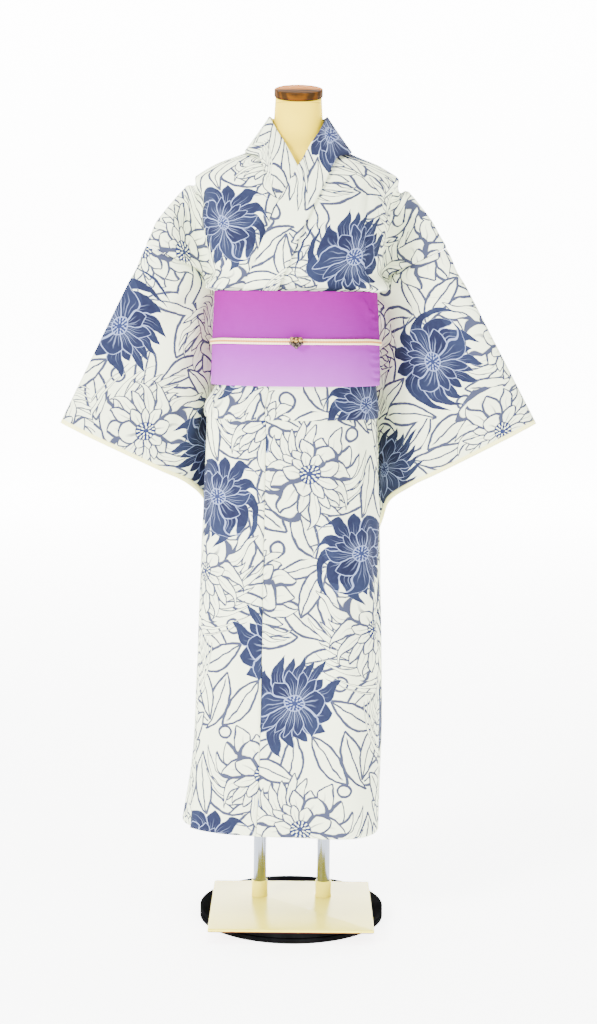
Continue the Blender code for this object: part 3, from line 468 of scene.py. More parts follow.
# Lengths of cloth hidden in the waist fold and under the sash, and over what length the print skips them.
TUCKED_AT_WAIST = 0.174
TUCKED_AT_WAIST_RUN = 0.02
TUCKED_IN_OBI = 0.037
CHEST_PRINT_FROM = 0.170
CHEST_PRINT_RUN = 0.10
SKIRT_RUN = 0.773

# Where the cloth stands further out than the part's rows: sides, shoulders and under the arms.
SIDE_BAG = 0.026
SIDE_BAG_HEIGHTS = (1.0625, 1.0680, 1.1000)
SIDE_BAG_FROM = 0.085
SIDE_BAG_RUN = 0.045
SHOULDER_LIFT = 0.021
SHOULDER_LIFT_SIDES = (0.1725, 0.190, 0.242)
SHOULDER_RIDGE = (1.231, 0.1857, 0.714)
SHOULDER_DEEP = 0.10
UNDERARM_FILL = (0.016, 0.021)
UNDERARM_HEIGHTS = (1.018, 1.066, 1.125)
UNDERARM_RUN = 0.07

# The print and the finishes. Places on the bolt are in metres, a turn in degrees; each motif has its half
# sizes, and lines, hooks and ripples are shares of them.
TILE = (0.36, 0.59)
TILE_HIGH = (0.5 * TILE[0], 0.5 * TILE[1], 1.0)
TILE_LOW = (-0.5 * TILE[0], -0.5 * TILE[1], -1.0)
HAND_WAVER = ((16.0, 0.016), (75.0, 0.0035))
LINE = 0.0018
LINE_SOFT = 0.0007
LEAF_LINE = 0.108
LEAF_SOFT = 0.036
PEN = 0.0185
PEN_SOFT = 0.0070
PALE_PEN = 0.0060
CENTRE_SHARE = 0.170
LEAF_ARCH = 0.30
LEAF_DROP = 0.15
PETAL_HOOK_FROM = 0.55
PETAL_HOOK = 9.0
PETAL_UNEVEN = 0.26
PETAL_RIPPLES = 15.0
PETAL_RIPPLE = 0.05
RING_TURN = 1.7
FLOWER_LOPSIDED = 0.14
PETAL_SHORTEST = 0.72
PETAL_VARIES = 0.36
PETAL_RISE = 0.6
PETAL_FALL = 4.0
RIB_ASIDE = 0.10
RIB_WIDTH = 0.3
VEIN_PLACE = 0.24
VEIN_WIDTH = 0.15
DARK_DRAWS = 5.0
OUTER_DOTS = 13.0
INNER_DOTS = 7.0
WEAVE_SCALE = 320.0
YARN_ALONG = (900.0, 60.0, 0.0)
YARN_ACROSS = (60.0, 900.0, 0.0)
SHEEN_ROUGHNESS = 0.4
DYE_ABOVE_CORD = (0.075, 0.155)
DYE_BELOW_CORD = (0.0, 0.070)
DYE_STEP = (0.070, 0.079)
DYE_MOTTLE = 0.012
CORD_STRIPE = (0.42, 0.30)
BRAID_PITCH = 1400.0
BRAID_SLANT = 3.0
WOOD_GRAIN = (14.0, 150.0, 60.0)
CHROME_BRUSHING = (900.0, 900.0, 6.0)
DARK_FLOWERS = (
    ("across", "along", "turn", "half width", "half height", "seed"),
    (0.040, 0.470, 20.0, 0.092, 0.084, 1.0),
    (-0.075, 0.2245, 200.0, 0.094, 0.086, 2.0),
    (0.165, 0.060, 100.0, 0.088, 0.080, 3.0),
)
OUTLINE_FLOWERS = (
    ("across", "along", "turn", "half width", "half height", "seed"),
    (-0.058, 0.015, 10.0, 0.108, 0.098, 4.0),
    (0.070, 0.340, 150.0, 0.104, 0.096, 5.0),
    (-0.155, 0.420, 80.0, 0.100, 0.092, 6.0),
    (0.150, 0.200, 250.0, 0.098, 0.088, 7.0),
)
DARK_PETALS = (
    ("count", "length", "spread", "curl"),
    (14, 1.04, 0.260, 0.36),
    (11, 0.72, 0.210, -0.40),
)
OUTLINE_PETALS = (
    ("count", "length", "spread", "curl"),
    (17, 1.06, 0.215, 0.36),
    (13, 0.78, 0.190, -0.40),
    (8, 0.48, 0.190, 0.60),
)
LEAVES_BELOW = (
    ("across", "along", "turn", "half length", "half width", "seed"),
    (-0.020, 0.385, 100.0, 0.052, 0.0190, 0.0),
    (-0.062, 0.360, 140.0, 0.054, -0.0180, 0.0),
    (0.020, 0.565, 35.0, 0.054, 0.0190, 0.0),
    (0.100, 0.560, 118.0, 0.056, -0.0190, 0.0),
    (0.085, 0.110, 22.0, 0.054, 0.0190, 0.0),
    (0.028, 0.130, 112.0, 0.054, -0.0190, 0.0),
    (0.120, 0.275, 66.0, 0.050, 0.0180, 0.0),
    (-0.020, 0.300, 15.0, 0.050, 0.0175, 0.0),
    (-0.140, 0.130, 48.0, 0.052, -0.0185, 0.0),
    (-0.130, 0.540, -42.0, 0.054, 0.0190, 0.0),
    (0.160, 0.500, 78.0, 0.050, -0.0180, 0.0),
    (-0.060, 0.510, -72.0, 0.052, 0.0190, 0.0),
    (0.046, 0.234, 35.0, 0.052, -0.0180, 0.0),
    (-0.080, 0.122, 78.0, 0.050, 0.0180, 0.0),
    (0.143, 0.557, 58.0, 0.048, 0.0170, 0.0),
    (-0.062, 0.445, 12.0, 0.048, -0.0170, 0.0),
)
LEAVES_ABOVE = (
    ("across", "along", "turn", "half length", "half width", "seed"),
    (-0.045, 0.410, 62.0, 0.050, -0.0170, 0.0),
    (0.052, 0.580, 80.0, 0.052, 0.0180, 0.0),
    (0.062, 0.148, 66.0, 0.052, -0.0180, 0.0),
    (-0.015, 0.130, -52.0, 0.050, 0.0170, 0.0),
    (-0.120, 0.330, 8.0, 0.050, -0.0175, 0.0),
    (-0.165, 0.165, 92.0, 0.048, 0.0170, 0.0),
    (-0.168, 0.535, -84.0, 0.050, -0.0175, 0.0),
    (0.125, 0.400, 110.0, 0.048, 0.0170, 0.0),
    (0.110, 0.030, 150.0, 0.048, -0.0170, 0.0),
    (-0.095, 0.560, 16.0, 0.046, 0.0165, 0.0),
    (0.030, 0.203, -28.0, 0.050, 0.0170, 0.0),
    (-0.148, 0.290, 102.0, 0.050, -0.0170, 0.0),
    (0.178, 0.300, 20.0, 0.046, 0.0165, 0.0),
    (0.083, 0.070, 122.0, 0.044, 0.0160, 0.0),
    (-0.114, 0.108, -22.0, 0.046, -0.0165, 0.0),
)
RINGS = (
    ("across", "along", "radius"),
    (0.000, 0.255, 0.0125),
    (-0.120, 0.085, 0.0120),
    (0.128, 0.455, 0.0125),
    (0.012, 0.080, 0.0110),
    (-0.105, 0.480, 0.0120),
)

# Fineness of the small pieces.
OBI_FINE_ROWS = 69
OBI_FINE_STEPS = 400
OBI_CREASE_FLOOR = -0.0004
OBI_PLAIN_ENDS = 90.0
CORD_BED = 0.014
CORD_BED_RUN = 0.006
CORD_FINE_STEPS = 480
CORD_FINE_SIDES = 20
CORD_AIM = 0.5
CORD_PRESSED = 0.35
CORD_PRESSED_FROM = 62.0
CORD_PRESSED_RUN = 22.0
BRAID_THICK = 0.44
BRAID_WIDE = 0.45
BRAID_UPWARD = 0.6
BRAID_SIDEWAYS = 0.7
BRAID_GROOVE = 0.16
BRAID_GROOVE_WIDTH = 0.34
KNOT_CUTS = 7
KNOT_WIDTH_DRAWN = (0.24, 0.20)
KNOT_ENDS_DRAWN = 0.30
KNOT_EDGES_DRAWN = 0.25
KNOT_BULGE = 0.10
BEAD_GRAINS = 9
GRAIN_FORWARD = 0.35
GRAIN_SIZE = 0.16
FORM_ROWS = 120
FORM_SIDES = 96
NECK_SEAM_HEIGHT = 1.388
FORM_RIM_STEPS = (0.0, 0.05, 0.15, 0.3, 0.5, 0.75)
CAP_RINGS = 10
CAP_EDGE = 1.4
PAD_RIM = 0.0008
SOCKET_LIP = 0.0016
SOCKET_LIP_STEPS = 4
SOCKET_FOOT = (0.0006, 0.004)
TUBE_ROUND = 0.0006
PLATE_CORNER = 0.004
PLATE_EDGE = 0.0011
PLATE_EDGE_SHARE = 0.3
ROUND_STEPS = 5
SHARP_ANGLE = math.radians(35.0)
WELD = 0.00005
FINE_WELD = 0.00001

# Colours: shares of light that each finish gives back, set for a bright white studio.
GROUND = (0.840, 0.900, 0.645, 1.0)
SELVEDGE_PALE = (0.930, 0.900, 0.380, 1.0)
LINE_BLUE = (0.0440, 0.0500, 0.0880, 1.0)
CENTRE_BLUE = (0.0230, 0.0310, 0.0860, 1.0)
INDIGO_DEEP = (0.0105, 0.0120, 0.0320, 1.0)
INDIGO_PALE = (0.0230, 0.0310, 0.0680, 1.0)
VEIN_PALE = (0.255, 0.312, 0.505, 1.0)
OBI_TOP = (0.200, 0.000, 0.178, 1.0)
OBI_ABOVE_CORD = (0.205, 0.008, 0.225, 1.0)
OBI_BELOW_CORD = (0.260, 0.016, 0.316, 1.0)
OBI_BOTTOM = (0.350, 0.058, 0.430, 1.0)
CORD_WHITE = (0.930, 0.780, 0.400, 1.0)
CORD_BEIGE = (0.560, 0.210, 0.060, 1.0)
GOLD_BRIGHT = (0.420, 0.270, 0.090, 1.0)
GOLD_DULL = (0.120, 0.070, 0.025, 1.0)
# A darker copy of the gold colours, for the lower beads and the back plate of the ornament.
LOWER_GOLD_BRIGHT = (0.110, 0.085, 0.070, 1.0)
LOWER_GOLD_DULL = (0.030, 0.024, 0.022, 1.0)
FORM_LIGHT = (0.880, 0.640, 0.015, 1.0)
FORM_SHADE = (0.740, 0.520, 0.012, 1.0)
FORM_SEAM = (0.380, 0.230, 0.020, 1.0)
# Painted light and shade of the wooden cap: the colour of its lit top and of its shaded side.
WOOD_LIT_TOP = (0.420, 0.130, 0.001, 1.0)
WOOD_SHADED_SIDE = (0.030, 0.0145, 0.005, 1.0)
CHROME_BRIGHT = (0.250, 0.272, 0.320, 1.0)
CHROME_DULL = (0.130, 0.142, 0.170, 1.0)
ENAMEL_LIGHT = (0.950, 0.820, 0.100, 1.0)
ENAMEL_SHADE = (0.920, 0.770, 0.070, 1.0)
PLASTIC_BLACK = (0.0030, 0.0030, 0.0032, 1.0)
PLASTIC_DUSTY = (0.0080, 0.0080, 0.0085, 1.0)
PAD_RED = (0.110, 0.013, 0.006, 1.0)
PAD_ORANGE = (0.200, 0.032, 0.004, 1.0)
FLOOR_WHITE = (0.930, 0.930, 0.930, 1.0)

# Camera and light.
CAMERA_PLACE = (0.003, -3.3, 1.05)
CAMERA_SENSOR = 36.0
CAMERA_FOCAL_PIXELS = 1914.0
FRAME_HEIGHT_PIXELS = 1024.0
CAMERA_SHIFT = (300.0 - 512.0) / 1024.0
CAMERA_ROLL = 0.0091
WORLD_LIGHT = 0.6
FLOOR_GLOW_NEAR = 5.0
FLOOR_GLOW_FAR = 10.0
GLOW_FROM = 0.6
GLOW_TO = 6.0
FLOOR_FRONT = -12.0
FLOOR_HALF_WIDTH = 14.0
BACKDROP_FROM = 7.0
BACKDROP_CURVE = 3.0
BACKDROP_STEPS = 12
BACKDROP_TOP = 9.0
LIGHT_AIM = (0.0, 0.0, 0.8)
STUDIO_LIGHTS = (
    ("name", "place", "size", "power"),
    ("key", (-2.8, -3.0, 2.6), 1.1, 430.0),
    ("fill", (2.8, -3.0, 1.8), 2.4, 26.0),
    ("top", (0.0, -0.2, 3.6), 1.6, 165.0),
)


# The part's own geometry.


def table(rows, name, value):
    """Read a named column by the first one, straight between rows; the names are the first row."""
    column = rows[0].index(name)
    return float(np.interp(value, [row[0] for row in rows[1:]], [row[column] for row in rows[1:]]))


def smooth(value):
    value = min(max(value, 0.0), 1.0)
    return value * value * (3.0 - 2.0 * value)


def mix(first, second, share):
    return first + (second - first) * share


def figure_point(height, turn, out, rows=FIGURE):
    """A point pushed out from the figure; the skirt's front corner on the right stands forward."""
    sine = math.sin(math.radians(turn))
    cosine = math.cos(math.radians(turn))
    side = table(rows, "right" if sine > 0.0 else "left", height) + out
    depth = table(rows, "front" if cosine > 0.0 else "back", height) + out
    power = 2.0 / SQUARENESS
    across = math.copysign(abs(sine) ** power, sine)
    forward = math.copysign(abs(cosine) ** power, cosine)
    corner = FRONT_CORNER * smooth((CORNER_TOP - height) / CORNER_RUN) * smooth(across)
    return Vector((side * across, -depth * forward - corner, height))


def turn_at(height, x, out):
    """The turn, on the front, at which the figure reaches x."""
    side = table(FIGURE, "right" if x > 0.0 else "left", height) + out
    share = min(abs(x) / side, 0.999) ** (SQUARENESS / 2.0)
    return math.copysign(math.degrees(math.asin(share)), x)


def wound_out(side, turn, layer):
    """How far a panel lies out: both are wound one way, from the inner edge to the outer one."""
    wound = INNER_EDGE_TURN - turn if side < 0 else INNER_EDGE_TURN + 360.0 - turn
    return LAYER * (TURN_LAYERS * wound / 360.0 + layer)


def shoulder_ease(height, turn):
    """Layers close up towards the shoulder, where the cloth rests on the form."""
    ridge = mix(1.0, RIDGE_EASE, smooth((height - EASE_FROM) / (SHOULDER_TIP - EASE_FROM)))
    sideways = smooth(abs(math.sin(math.radians(turn))) * EASE_SPREAD)
    return mix(1.0, ridge, sideways)


def chest_out(side, turn, height):
    return wound_out(side, turn, CHEST_LAYER) * shoulder_ease(height, turn)


def sleeve_slope(side):
    return SLEEVE_SLOPE_RIGHT if side > 0 else SLEEVE_SLOPE_LEFT


def top_fold_x(side, height):
    """Half width of the outer fold: the shoulder's outline, then the sleeve's straight top fold."""
    name = "right" if side > 0 else "left"
    below = max(SEAM_TOP - height, 0.0) / math.tan(sleeve_slope(side))
    return table(SHOULDER_FOLD, name, height) + below


def plan_curve():
    """The sleeves' line from above as even steps along a smooth curve: distance, side, depth."""
    points = [Vector(row) for row in SLEEVE_PLAN[1:]]
    smoothed = []
    for index in range(len(points) - 1):
        before = points[max(index - 1, 0)]
        start = points[index]
        end = points[index + 1]
        after = points[min(index + 2, len(points) - 1)]
        for step in range(PLAN_STEPS):
            share = step / PLAN_STEPS
            bend = (2.0 * before - 5.0 * start + 4.0 * end - after) * share ** 2
            twist = (3.0 * start - before - 3.0 * end + after) * share ** 3
            smoothed.append(0.5 * (2.0 * start + (end - before) * share + bend + twist))
    smoothed.append(points[-1])
    length = [0.0]
    for first, second in zip(smoothed, smoothed[1:]):
        length.append(length[-1] + (second - first).length)
    return np.array(length), np.array([p.x for p in smoothed]), np.array([p.y for p in smoothed])


PLAN_LENGTH, PLAN_SIDE, PLAN_DEPTH = plan_curve()


def plan_distance(x):
    return float(np.interp(-x, -PLAN_SIDE, PLAN_LENGTH))


def plan_point(distance):
    x = float(np.interp(distance, PLAN_LENGTH, PLAN_SIDE))
    y = float(np.interp(distance, PLAN_LENGTH, PLAN_DEPTH))
    return Vector((x, y))


def plan_normal(distance):
    """Unit normal of the plan line, away from the body."""
    step = NORMAL_STEP
    along = plan_point(distance + step) - plan_point(distance - step)
    along.normalize()
    return Vector((along.y, -along.x))


def hollow(v):
    """Half the gap between a sleeve's front and back, closed round its top fold."""
    share = min(max(v, 0.0) / FOLD_ROUND, 1.0)
    return HOLLOW * math.sqrt(1.0 - (1.0 - share) ** 2)


def armhole_hollow(v):
    """The same at the sleeve seam, which closes at its lower end under the arm."""
    closed = smooth((v - FOLD_ROUND) / (ARMHOLE_V[-1] - FOLD_ROUND))
    return hollow(v) * (1.0 - ARMHOLE_PINCH * closed)


def hang_line(side, p):
    """The line down the sleeve cloth at p from the seam: (distance along the plan, height) by v."""
    slope = sleeve_slope(side)
    start_x = top_fold_x(side, SEAM_TOP) + p * math.cos(slope)
    distance = plan_distance(start_x)
    height = SEAM_TOP - p * math.sin(slope)
    seam_distance = plan_distance(top_fold_x(side, SEAM_TOP))
    step = SLEEVE_LENGTH / HANG_STEPS
    track = [(0.0, distance, height)]
    for index in range(HANG_STEPS):
        behind = smooth((distance - seam_distance - HANG_START) / (HANG_END - HANG_START))
        fall = mix(math.pi / 2.0 - slope, HANG_SLOPE, behind)
        distance += step * math.cos(fall)
        height -= step * math.sin(fall)
        track.append(((index + 1) * step, distance, height))
    columns = np.array(track).T
    return [(float(np.interp(v, columns[0], columns[1])), float(np.interp(v, columns[0], columns[2])))
            for v in SLEEVE_V]


def armhole(side):
    """Heights and half widths down the sleeve seam, where body and sleeve meet."""
    line = hang_line(side, 0.0)[:len(ARMHOLE_V)]
    return [(height, distance) for distance, height in line]


def mirrored(side, x, y, z):
    return Vector((side * x, y, z))


def centre_back_turn():
    """The centre back seam, half its gap short of the middle."""
    return 180.0 - math.degrees(0.5 * SEAM / table(FIGURE, "back", CORNER_TOP))


def chest_front_edge(side, height):
    """The turn of a front panel's inner edge, under the collar."""
    seam = []
    for inner_x, _, inner_z, outer_x, outer_z in reversed(COLLAR[1:]):
        seam.append((mix(inner_z, outer_z, COLLAR_SEAM_SHARE), mix(inner_x, outer_x, COLLAR_SEAM_SHARE)))
    x = side * float(np.interp(height, [row[0] for row in seam], [row[1] for row in seam]))
    return side * turn_at(height, x, CHEST_EASE)


def wing_points(side, height, behind, end_distance, end_v):
    """From the valley beside the chest out along the sleeve's plan to the fold or the armhole."""
    valley_turn = BACK_VALLEY_TURN if behind else VALLEY_TURN
    sign = 1.0 if behind else -1.0
    opened = smooth((SHOULDER_TIP - height) / SHOULDER_RUN)
    out = chest_out(side, side * RIDGE_TURN, height)
    wide = figure_point(height, side * RIDGE_TURN, out)
    pinch = armhole_hollow(end_v) / hollow(end_v) if end_v > 0.0 else 1.0
    start_x = abs(wide.x) + VALLEY_SIDE if behind else FRONT_WING_SIDE
    start_distance = plan_distance(start_x)
    valley = Vector((abs(wide.x) + VALLEY_SIDE, VALLEY_DEPTH))
    if behind:
        valley = plan_point(start_distance) + plan_normal(start_distance) * HOLLOW * pinch
    end = plan_point(end_distance) + sign * plan_normal(end_distance) * armhole_hollow(end_v)
    curving = 1.0 if behind else smooth((start_distance - end_distance) / WING_RUN)
    points = []
    for index, share in enumerate(WING_SHARES):
        distance = mix(start_distance, end_distance, share)
        gap = hollow((distance - end_distance) / math.cos(FOLD_FALL) + end_v) * pinch
        curved = plan_point(distance) + sign * plan_normal(distance) * gap
        curved = valley.lerp(curved, smooth(share / WING_SHARES[1]))
        level = valley.lerp(end, share).lerp(curved, curving)
        if share == 1.0:
            level = end
        turn = mix(valley_turn, RIDGE_TURN, (index + 1) / WING_COLUMNS)
        round_out = chest_out(side, side * turn, height)
        rounded = figure_point(height, side * turn, round_out)
        x = mix(abs(rounded.x), level.x, opened)
        points.append(Vector((side * x, mix(rounded.y, level.y, opened), height)))
    return points


def chest_row(side, height, behind, end_distance, end_v):
    """One level of a body panel above the obi, from its inner edge to the fold or the armhole."""
    if behind:
        first = min(table(BACK_NECK, "turn", height), centre_back_turn())
        last = BACK_VALLEY_TURN
    else:
        first = chest_front_edge(side, height)
        last = VALLEY_TURN
    row = []
    for column in range(CHEST_COLUMNS + 1):
        turn = mix(first, last, column / CHEST_COLUMNS)
        row.append(figure_point(height, side * turn, chest_out(side, side * turn, height)))
    return row + wing_points(side, height, behind, end_distance, end_v)


def lower_row(side, height, layer, behind):
    """One level of a body panel from the hem to the top of the obi."""
    seam = table(SIDE_SEAM, "turn", height)
    gap = math.degrees(0.5 * (WALL + SEAM) / table(FIGURE, "right", height))
    if behind:
        first = centre_back_turn()
        last = seam + gap
    elif height > OKUMI_CHEST[-1][0]:
        first = chest_front_edge(side, height)
        last = seam - gap
    else:
        first = -OKUMI_SEAM_TURN
        last = seam - gap
    valley = BACK_VALLEY_TURN if behind else VALLEY_TURN
    upright = smooth((height - UPRIGHT_FROM) / UPRIGHT_RUN)
    row = []
    for column in range(BODY_COLUMNS + 1):
        turn = mix(first, last, column / BODY_COLUMNS)
        if column <= CHEST_COLUMNS:
            above = mix(first, valley, column / CHEST_COLUMNS)
        else:
            above = mix(valley, last, (column - CHEST_COLUMNS) / WING_COLUMNS)
        turn = mix(turn, above, upright)
        row.append(figure_point(height, side * turn, wound_out(side, side * turn, layer)))
    return row


def body_rows(side, behind):
    rows = [lower_row(side, height, 0.0, behind) for height in SKIRT_ROWS]
    rows += [lower_row(side, height, layer, behind) for height, layer in FOLD_ROWS]
    for (height, distance), v in list(zip(armhole(side), ARMHOLE_V))[:0:-1]:
        rows.append(chest_row(side, height, behind, distance, v))
    fold_distance = plan_distance(top_fold_x(side, SEAM_TOP))
    rows.append(chest_row(side, SEAM_TOP, behind, fold_distance, 0.0))
    for height in SHOULDER_ROWS:
        distance = plan_distance(top_fold_x(side, height))
        rows.append(chest_row(side, height, behind, distance, 0.0))
    return rows


def okumi_row(side, height, layer):
    """One level of an overlap panel, from its seam to its free edge."""
    edge = table(OKUMI_CHEST if layer > 1.0 else OKUMI_SKIRT, "edge turn", height)
    if layer == 1.0:
        folded = smooth((FOLD_TOP - height) / (FOLD_TOP - FOLD_BOTTOM))
        edge = mix(table(OKUMI_SKIRT, "edge turn", FOLD_TOP), OKUMI_CHEST[1][1], folded)
    seam = OKUMI_SEAM_TURN + math.degrees(OKUMI_GAP / table(FIGURE, "front", height))
    row = []
    for column in range(OKUMI_COLUMNS + 1):
        turn = -side * mix(seam, edge, column / OKUMI_COLUMNS)
        row.append(figure_point(height, turn, wound_out(side, turn, layer)))
    return row


def sleeve_ring(side, p):
    """The sleeve cut across at p: down its front from the top fold and back up behind."""
    line = hang_line(side, p)
    slope = sleeve_slope(side)
    opening = smooth((p - GAPE_FROM) / (SLEEVE_WIDTH - GAPE_FROM))
    near_cuff = smooth((p - SEWN_FROM) / (SLEEVE_WIDTH - SEWN_FROM))
    fore = []
    rear = []
    for v, (distance, height) in zip(SLEEVE_V, line):
        step = FREE_EDGE_STEP * (1.0 - p / SLEEVE_WIDTH) * smooth((v - FREE_FROM) / FREE_RUN)
        distance -= step * math.cos(slope)
        height -= step * math.sin(slope)
        gap = hollow(v) * hollow(SLEEVE_LENGTH - v) / HOLLOW
        gap = mix(armhole_hollow(v) if v <= ARMHOLE_V[-1] else gap, gap, smooth(p / SLEEVE_P[2]))
        within = smooth(v / GAPE_RUN) * smooth((CUFF_OPENING + CUFF_RUN - v) / GAPE_RUN)
        sewn = near_cuff * smooth((v - CUFF_OPENING) / CUFF_RUN)
        gap = mix(gap * (1.0 + CUFF_GAPE * opening * within), min(gap, SEWN_GAP), sewn)
        centre = plan_point(distance)
        normal = plan_normal(distance)
        fore.append(mirrored(side, centre.x - normal.x * gap, centre.y - normal.y * gap, height))
        rear.append(mirrored(side, centre.x + normal.x * gap, centre.y + normal.y * gap, height))
    return fore + rear[-2:0:-1]


def collar_rise(side, height):
    """How far the collar's middle lies over its own panel; more where it turns up at the neck."""
    rise = COLLAR_RISE_LEFT if side > 0 else COLLAR_RISE_RIGHT
    return rise + NECK_RISE * smooth((height - NECK_RISE_FROM) / NECK_RISE_RUN)


def collar_front_point(side, x, height):
    """A point of the collar lying on the chest."""
    out = COLLAR_RISE_LEFT
    for _ in range(4):
        turn = turn_at(height, x, out)
        out = chest_out(side, turn, height) + collar_rise(side, height)
    return figure_point(height, turn_at(height, x, out), out)


def collar_rows(side):
    rows = []
    for inner_x, inner_y, inner_z, turn, outer_z in NECK[1:]:
        inner = mirrored(side, inner_x, inner_y, inner_z)
        out = chest_out(side, side * turn, outer_z) + collar_rise(side, outer_z)
        outer = figure_point(outer_z, side * turn, out)
        middle = inner.lerp(outer, 0.55)
        rows.append([inner, middle, outer])
    for inner_x, inner_y, inner_z, outer_x, outer_z in COLLAR[1:]:
        outer = collar_front_point(side, side * outer_x, outer_z)
        if inner_y is None:
            inner = collar_front_point(side, side * inner_x, inner_z)
            middle_x = side * mix(inner_x, outer_x, 0.5)
            middle = collar_front_point(side, middle_x, mix(inner_z, outer_z, 0.5))
        else:
            inner = mirrored(side, inner_x, inner_y, inner_z)
            middle = inner.lerp(outer, 0.5) + Vector(COLLAR_ROUND)
        rows.append([inner, middle, outer])
    return rows


# Shader numbers: a Term is a socket, and arithmetic on it adds nodes.


def connect(tree, value, socket):
    if isinstance(value, Term):
        tree.links.new(value.socket, socket)
    else:
        socket.default_value = value


class Term:
    """A value in a node tree; operators make the nodes that combine it with others."""

    def __init__(self, tree, socket):
        self.tree = tree
        self.socket = socket

    def math(self, operation, *others):
        node = self.tree.nodes.new("ShaderNodeMath")
        node.operation = operation
        for index, value in enumerate((self,) + others):
            connect(self.tree, value, node.inputs[index])
        return Term(self.tree, node.outputs[0])

    def vector(self, operation, *others, output=0):
        node = self.tree.nodes.new("ShaderNodeVectorMath")
        node.operation = operation
        for index, value in enumerate((self,) + others):
            connect(self.tree, value, node.inputs[index])
        return Term(self.tree, node.outputs[output])

    def __add__(self, other):
        return self.math("ADD", other)

    def __sub__(self, other):
        return self.math("SUBTRACT", other)

    def __mul__(self, other):
        return self.math("MULTIPLY", other)

    def __truediv__(self, other):
        return self.math("DIVIDE", other)

    def __pow__(self, other):
        return self.math("POWER", other)

    def __abs__(self):
        return self.math("ABSOLUTE")

    def but_not(self, other):
        """This mask where the other one is not."""
        return self * (other * -1.0 + 1.0)

    def over(self, other):
        return self.math("MAXIMUM", other)

    def ramp(self, low, high):
        """From 0 at low to 1 at high."""
        node = self.tree.nodes.new("ShaderNodeMapRange")
        connect(self.tree, self, node.inputs["Value"])
        connect(self.tree, low, node.inputs["From Min"])
        connect(self.tree, high, node.inputs["From Max"])
        return Term(self.tree, node.outputs["Result"])

    def parts(self):
        node = self.tree.nodes.new("ShaderNodeSeparateXYZ")
        self.tree.links.new(self.socket, node.inputs[0])
        return [Term(self.tree, output) for output in node.outputs]

    def line(self, half_width, soft):
        """A drawn line where this distance is near zero."""
        return abs(self).ramp(half_width + soft, half_width)


def join(tree, x, y, z=0.0):
    node = tree.nodes.new("ShaderNodeCombineXYZ")
    for index, value in enumerate((x, y, z)):
        connect(tree, value, node.inputs[index])
    return Term(tree, node.outputs[0])


def blend(tree, share, first, second, kind="RGBA"):
    """A mix of two colours, vectors or numbers."""
    node = tree.nodes.new("ShaderNodeMix")
    node.data_type = kind
    sockets = {"RGBA": (6, 7, 2), "VECTOR": (4, 5, 1), "FLOAT": (2, 3, 0)}[kind]
    connect(tree, share, node.inputs[0])
    connect(tree, first, node.inputs[sockets[0]])
    connect(tree, second, node.inputs[sockets[1]])
    return Term(tree, node.outputs[sockets[2]])


def noise(tree, place, scale, detail=2.0, roughness=0.5, output="Fac"):
    node = tree.nodes.new("ShaderNodeTexNoise")
    node.inputs["Scale"].default_value = scale
    node.inputs["Detail"].default_value = detail
    node.inputs["Roughness"].default_value = roughness
    connect(tree, place, node.inputs["Vector"])
    return Term(tree, node.outputs[output])


def wave(tree, place, scale, direction, distortion=0.0, detail_scale=1.0):
    node = tree.nodes.new("ShaderNodeTexWave")
    node.bands_direction = direction
    node.inputs["Scale"].default_value = scale
    node.inputs["Distortion"].default_value = distortion
    node.inputs["Detail Scale"].default_value = detail_scale
    connect(tree, place, node.inputs["Vector"])
    return Term(tree, node.outputs["Fac"])


def uv_place(tree):
    node = tree.nodes.new("ShaderNodeUVMap")
    node.uv_map = "cloth"
    return Term(tree, node.outputs["UV"])


def object_place(tree):
    node = tree.nodes.new("ShaderNodeTexCoord")
    return Term(tree, node.outputs["Object"])


def new_material(name, roughness, metallic=0.0, sheen=0.0, gloss=0.5):
    material = bpy.data.materials.new(name)
    material.use_nodes = True
    shader = material.node_tree.nodes["Principled BSDF"]
    shader.inputs["Roughness"].default_value = roughness
    shader.inputs["Metallic"].default_value = metallic
    shader.inputs["Specular IOR Level"].default_value = gloss
    shader.inputs["Sheen Weight"].default_value = sheen
    shader.inputs["Sheen Roughness"].default_value = SHEEN_ROUGHNESS
    return material, material.node_tree, shader


def paint(tree, shader, base, height=None, strength=0.2, distance=0.001, rough=None):
    """Connect a material's colour, its bump and its roughness."""
    connect(tree, base, shader.inputs["Base Color"])
    if rough is not None:
        connect(tree, rough, shader.inputs["Roughness"])
    if height is not None:
        bump = tree.nodes.new("ShaderNodeBump")
        bump.inputs["Strength"].default_value = strength
        bump.inputs["Distance"].default_value = distance
        connect(tree, height, bump.inputs["Height"])
        tree.links.new(bump.outputs["Normal"], shader.inputs["Normal"])


# The print: own drawings of chrysanthemums, leaves and rings, repeated along the bolt of cloth.


def nearest_motif(tree, place, rows):
    """Local coordinates of the motif that a point of the cloth lies nearest to, and its seed."""
    best = None
    for row in rows[1:]:
        moved = place.vector("SUBTRACT", (row[0], row[1], 0.0))
        moved = moved.vector("WRAP", TILE_HIGH, TILE_LOW)
        turned = tree.nodes.new("ShaderNodeVectorRotate")
        turned.rotation_type = "Z_AXIS"
        turned.inputs["Angle"].default_value = math.radians(-row[2])
        connect(tree, moved, turned.inputs["Vector"])
        local = Term(tree, turned.outputs[0]).vector("MULTIPLY", (1.0 / row[3], 1.0 / row[4], 0.0))
        reach = local.vector("LENGTH", output=1)
        if best is None:
            best, found, seed = reach, local, row[5]
            continue
        closer = reach.math("LESS_THAN", best)
        found = blend(tree, closer, found, local, "VECTOR")
        seed = blend(tree, closer, seed, row[5], "FLOAT")
        best = best.math("MINIMUM", reach)
    return found, seed


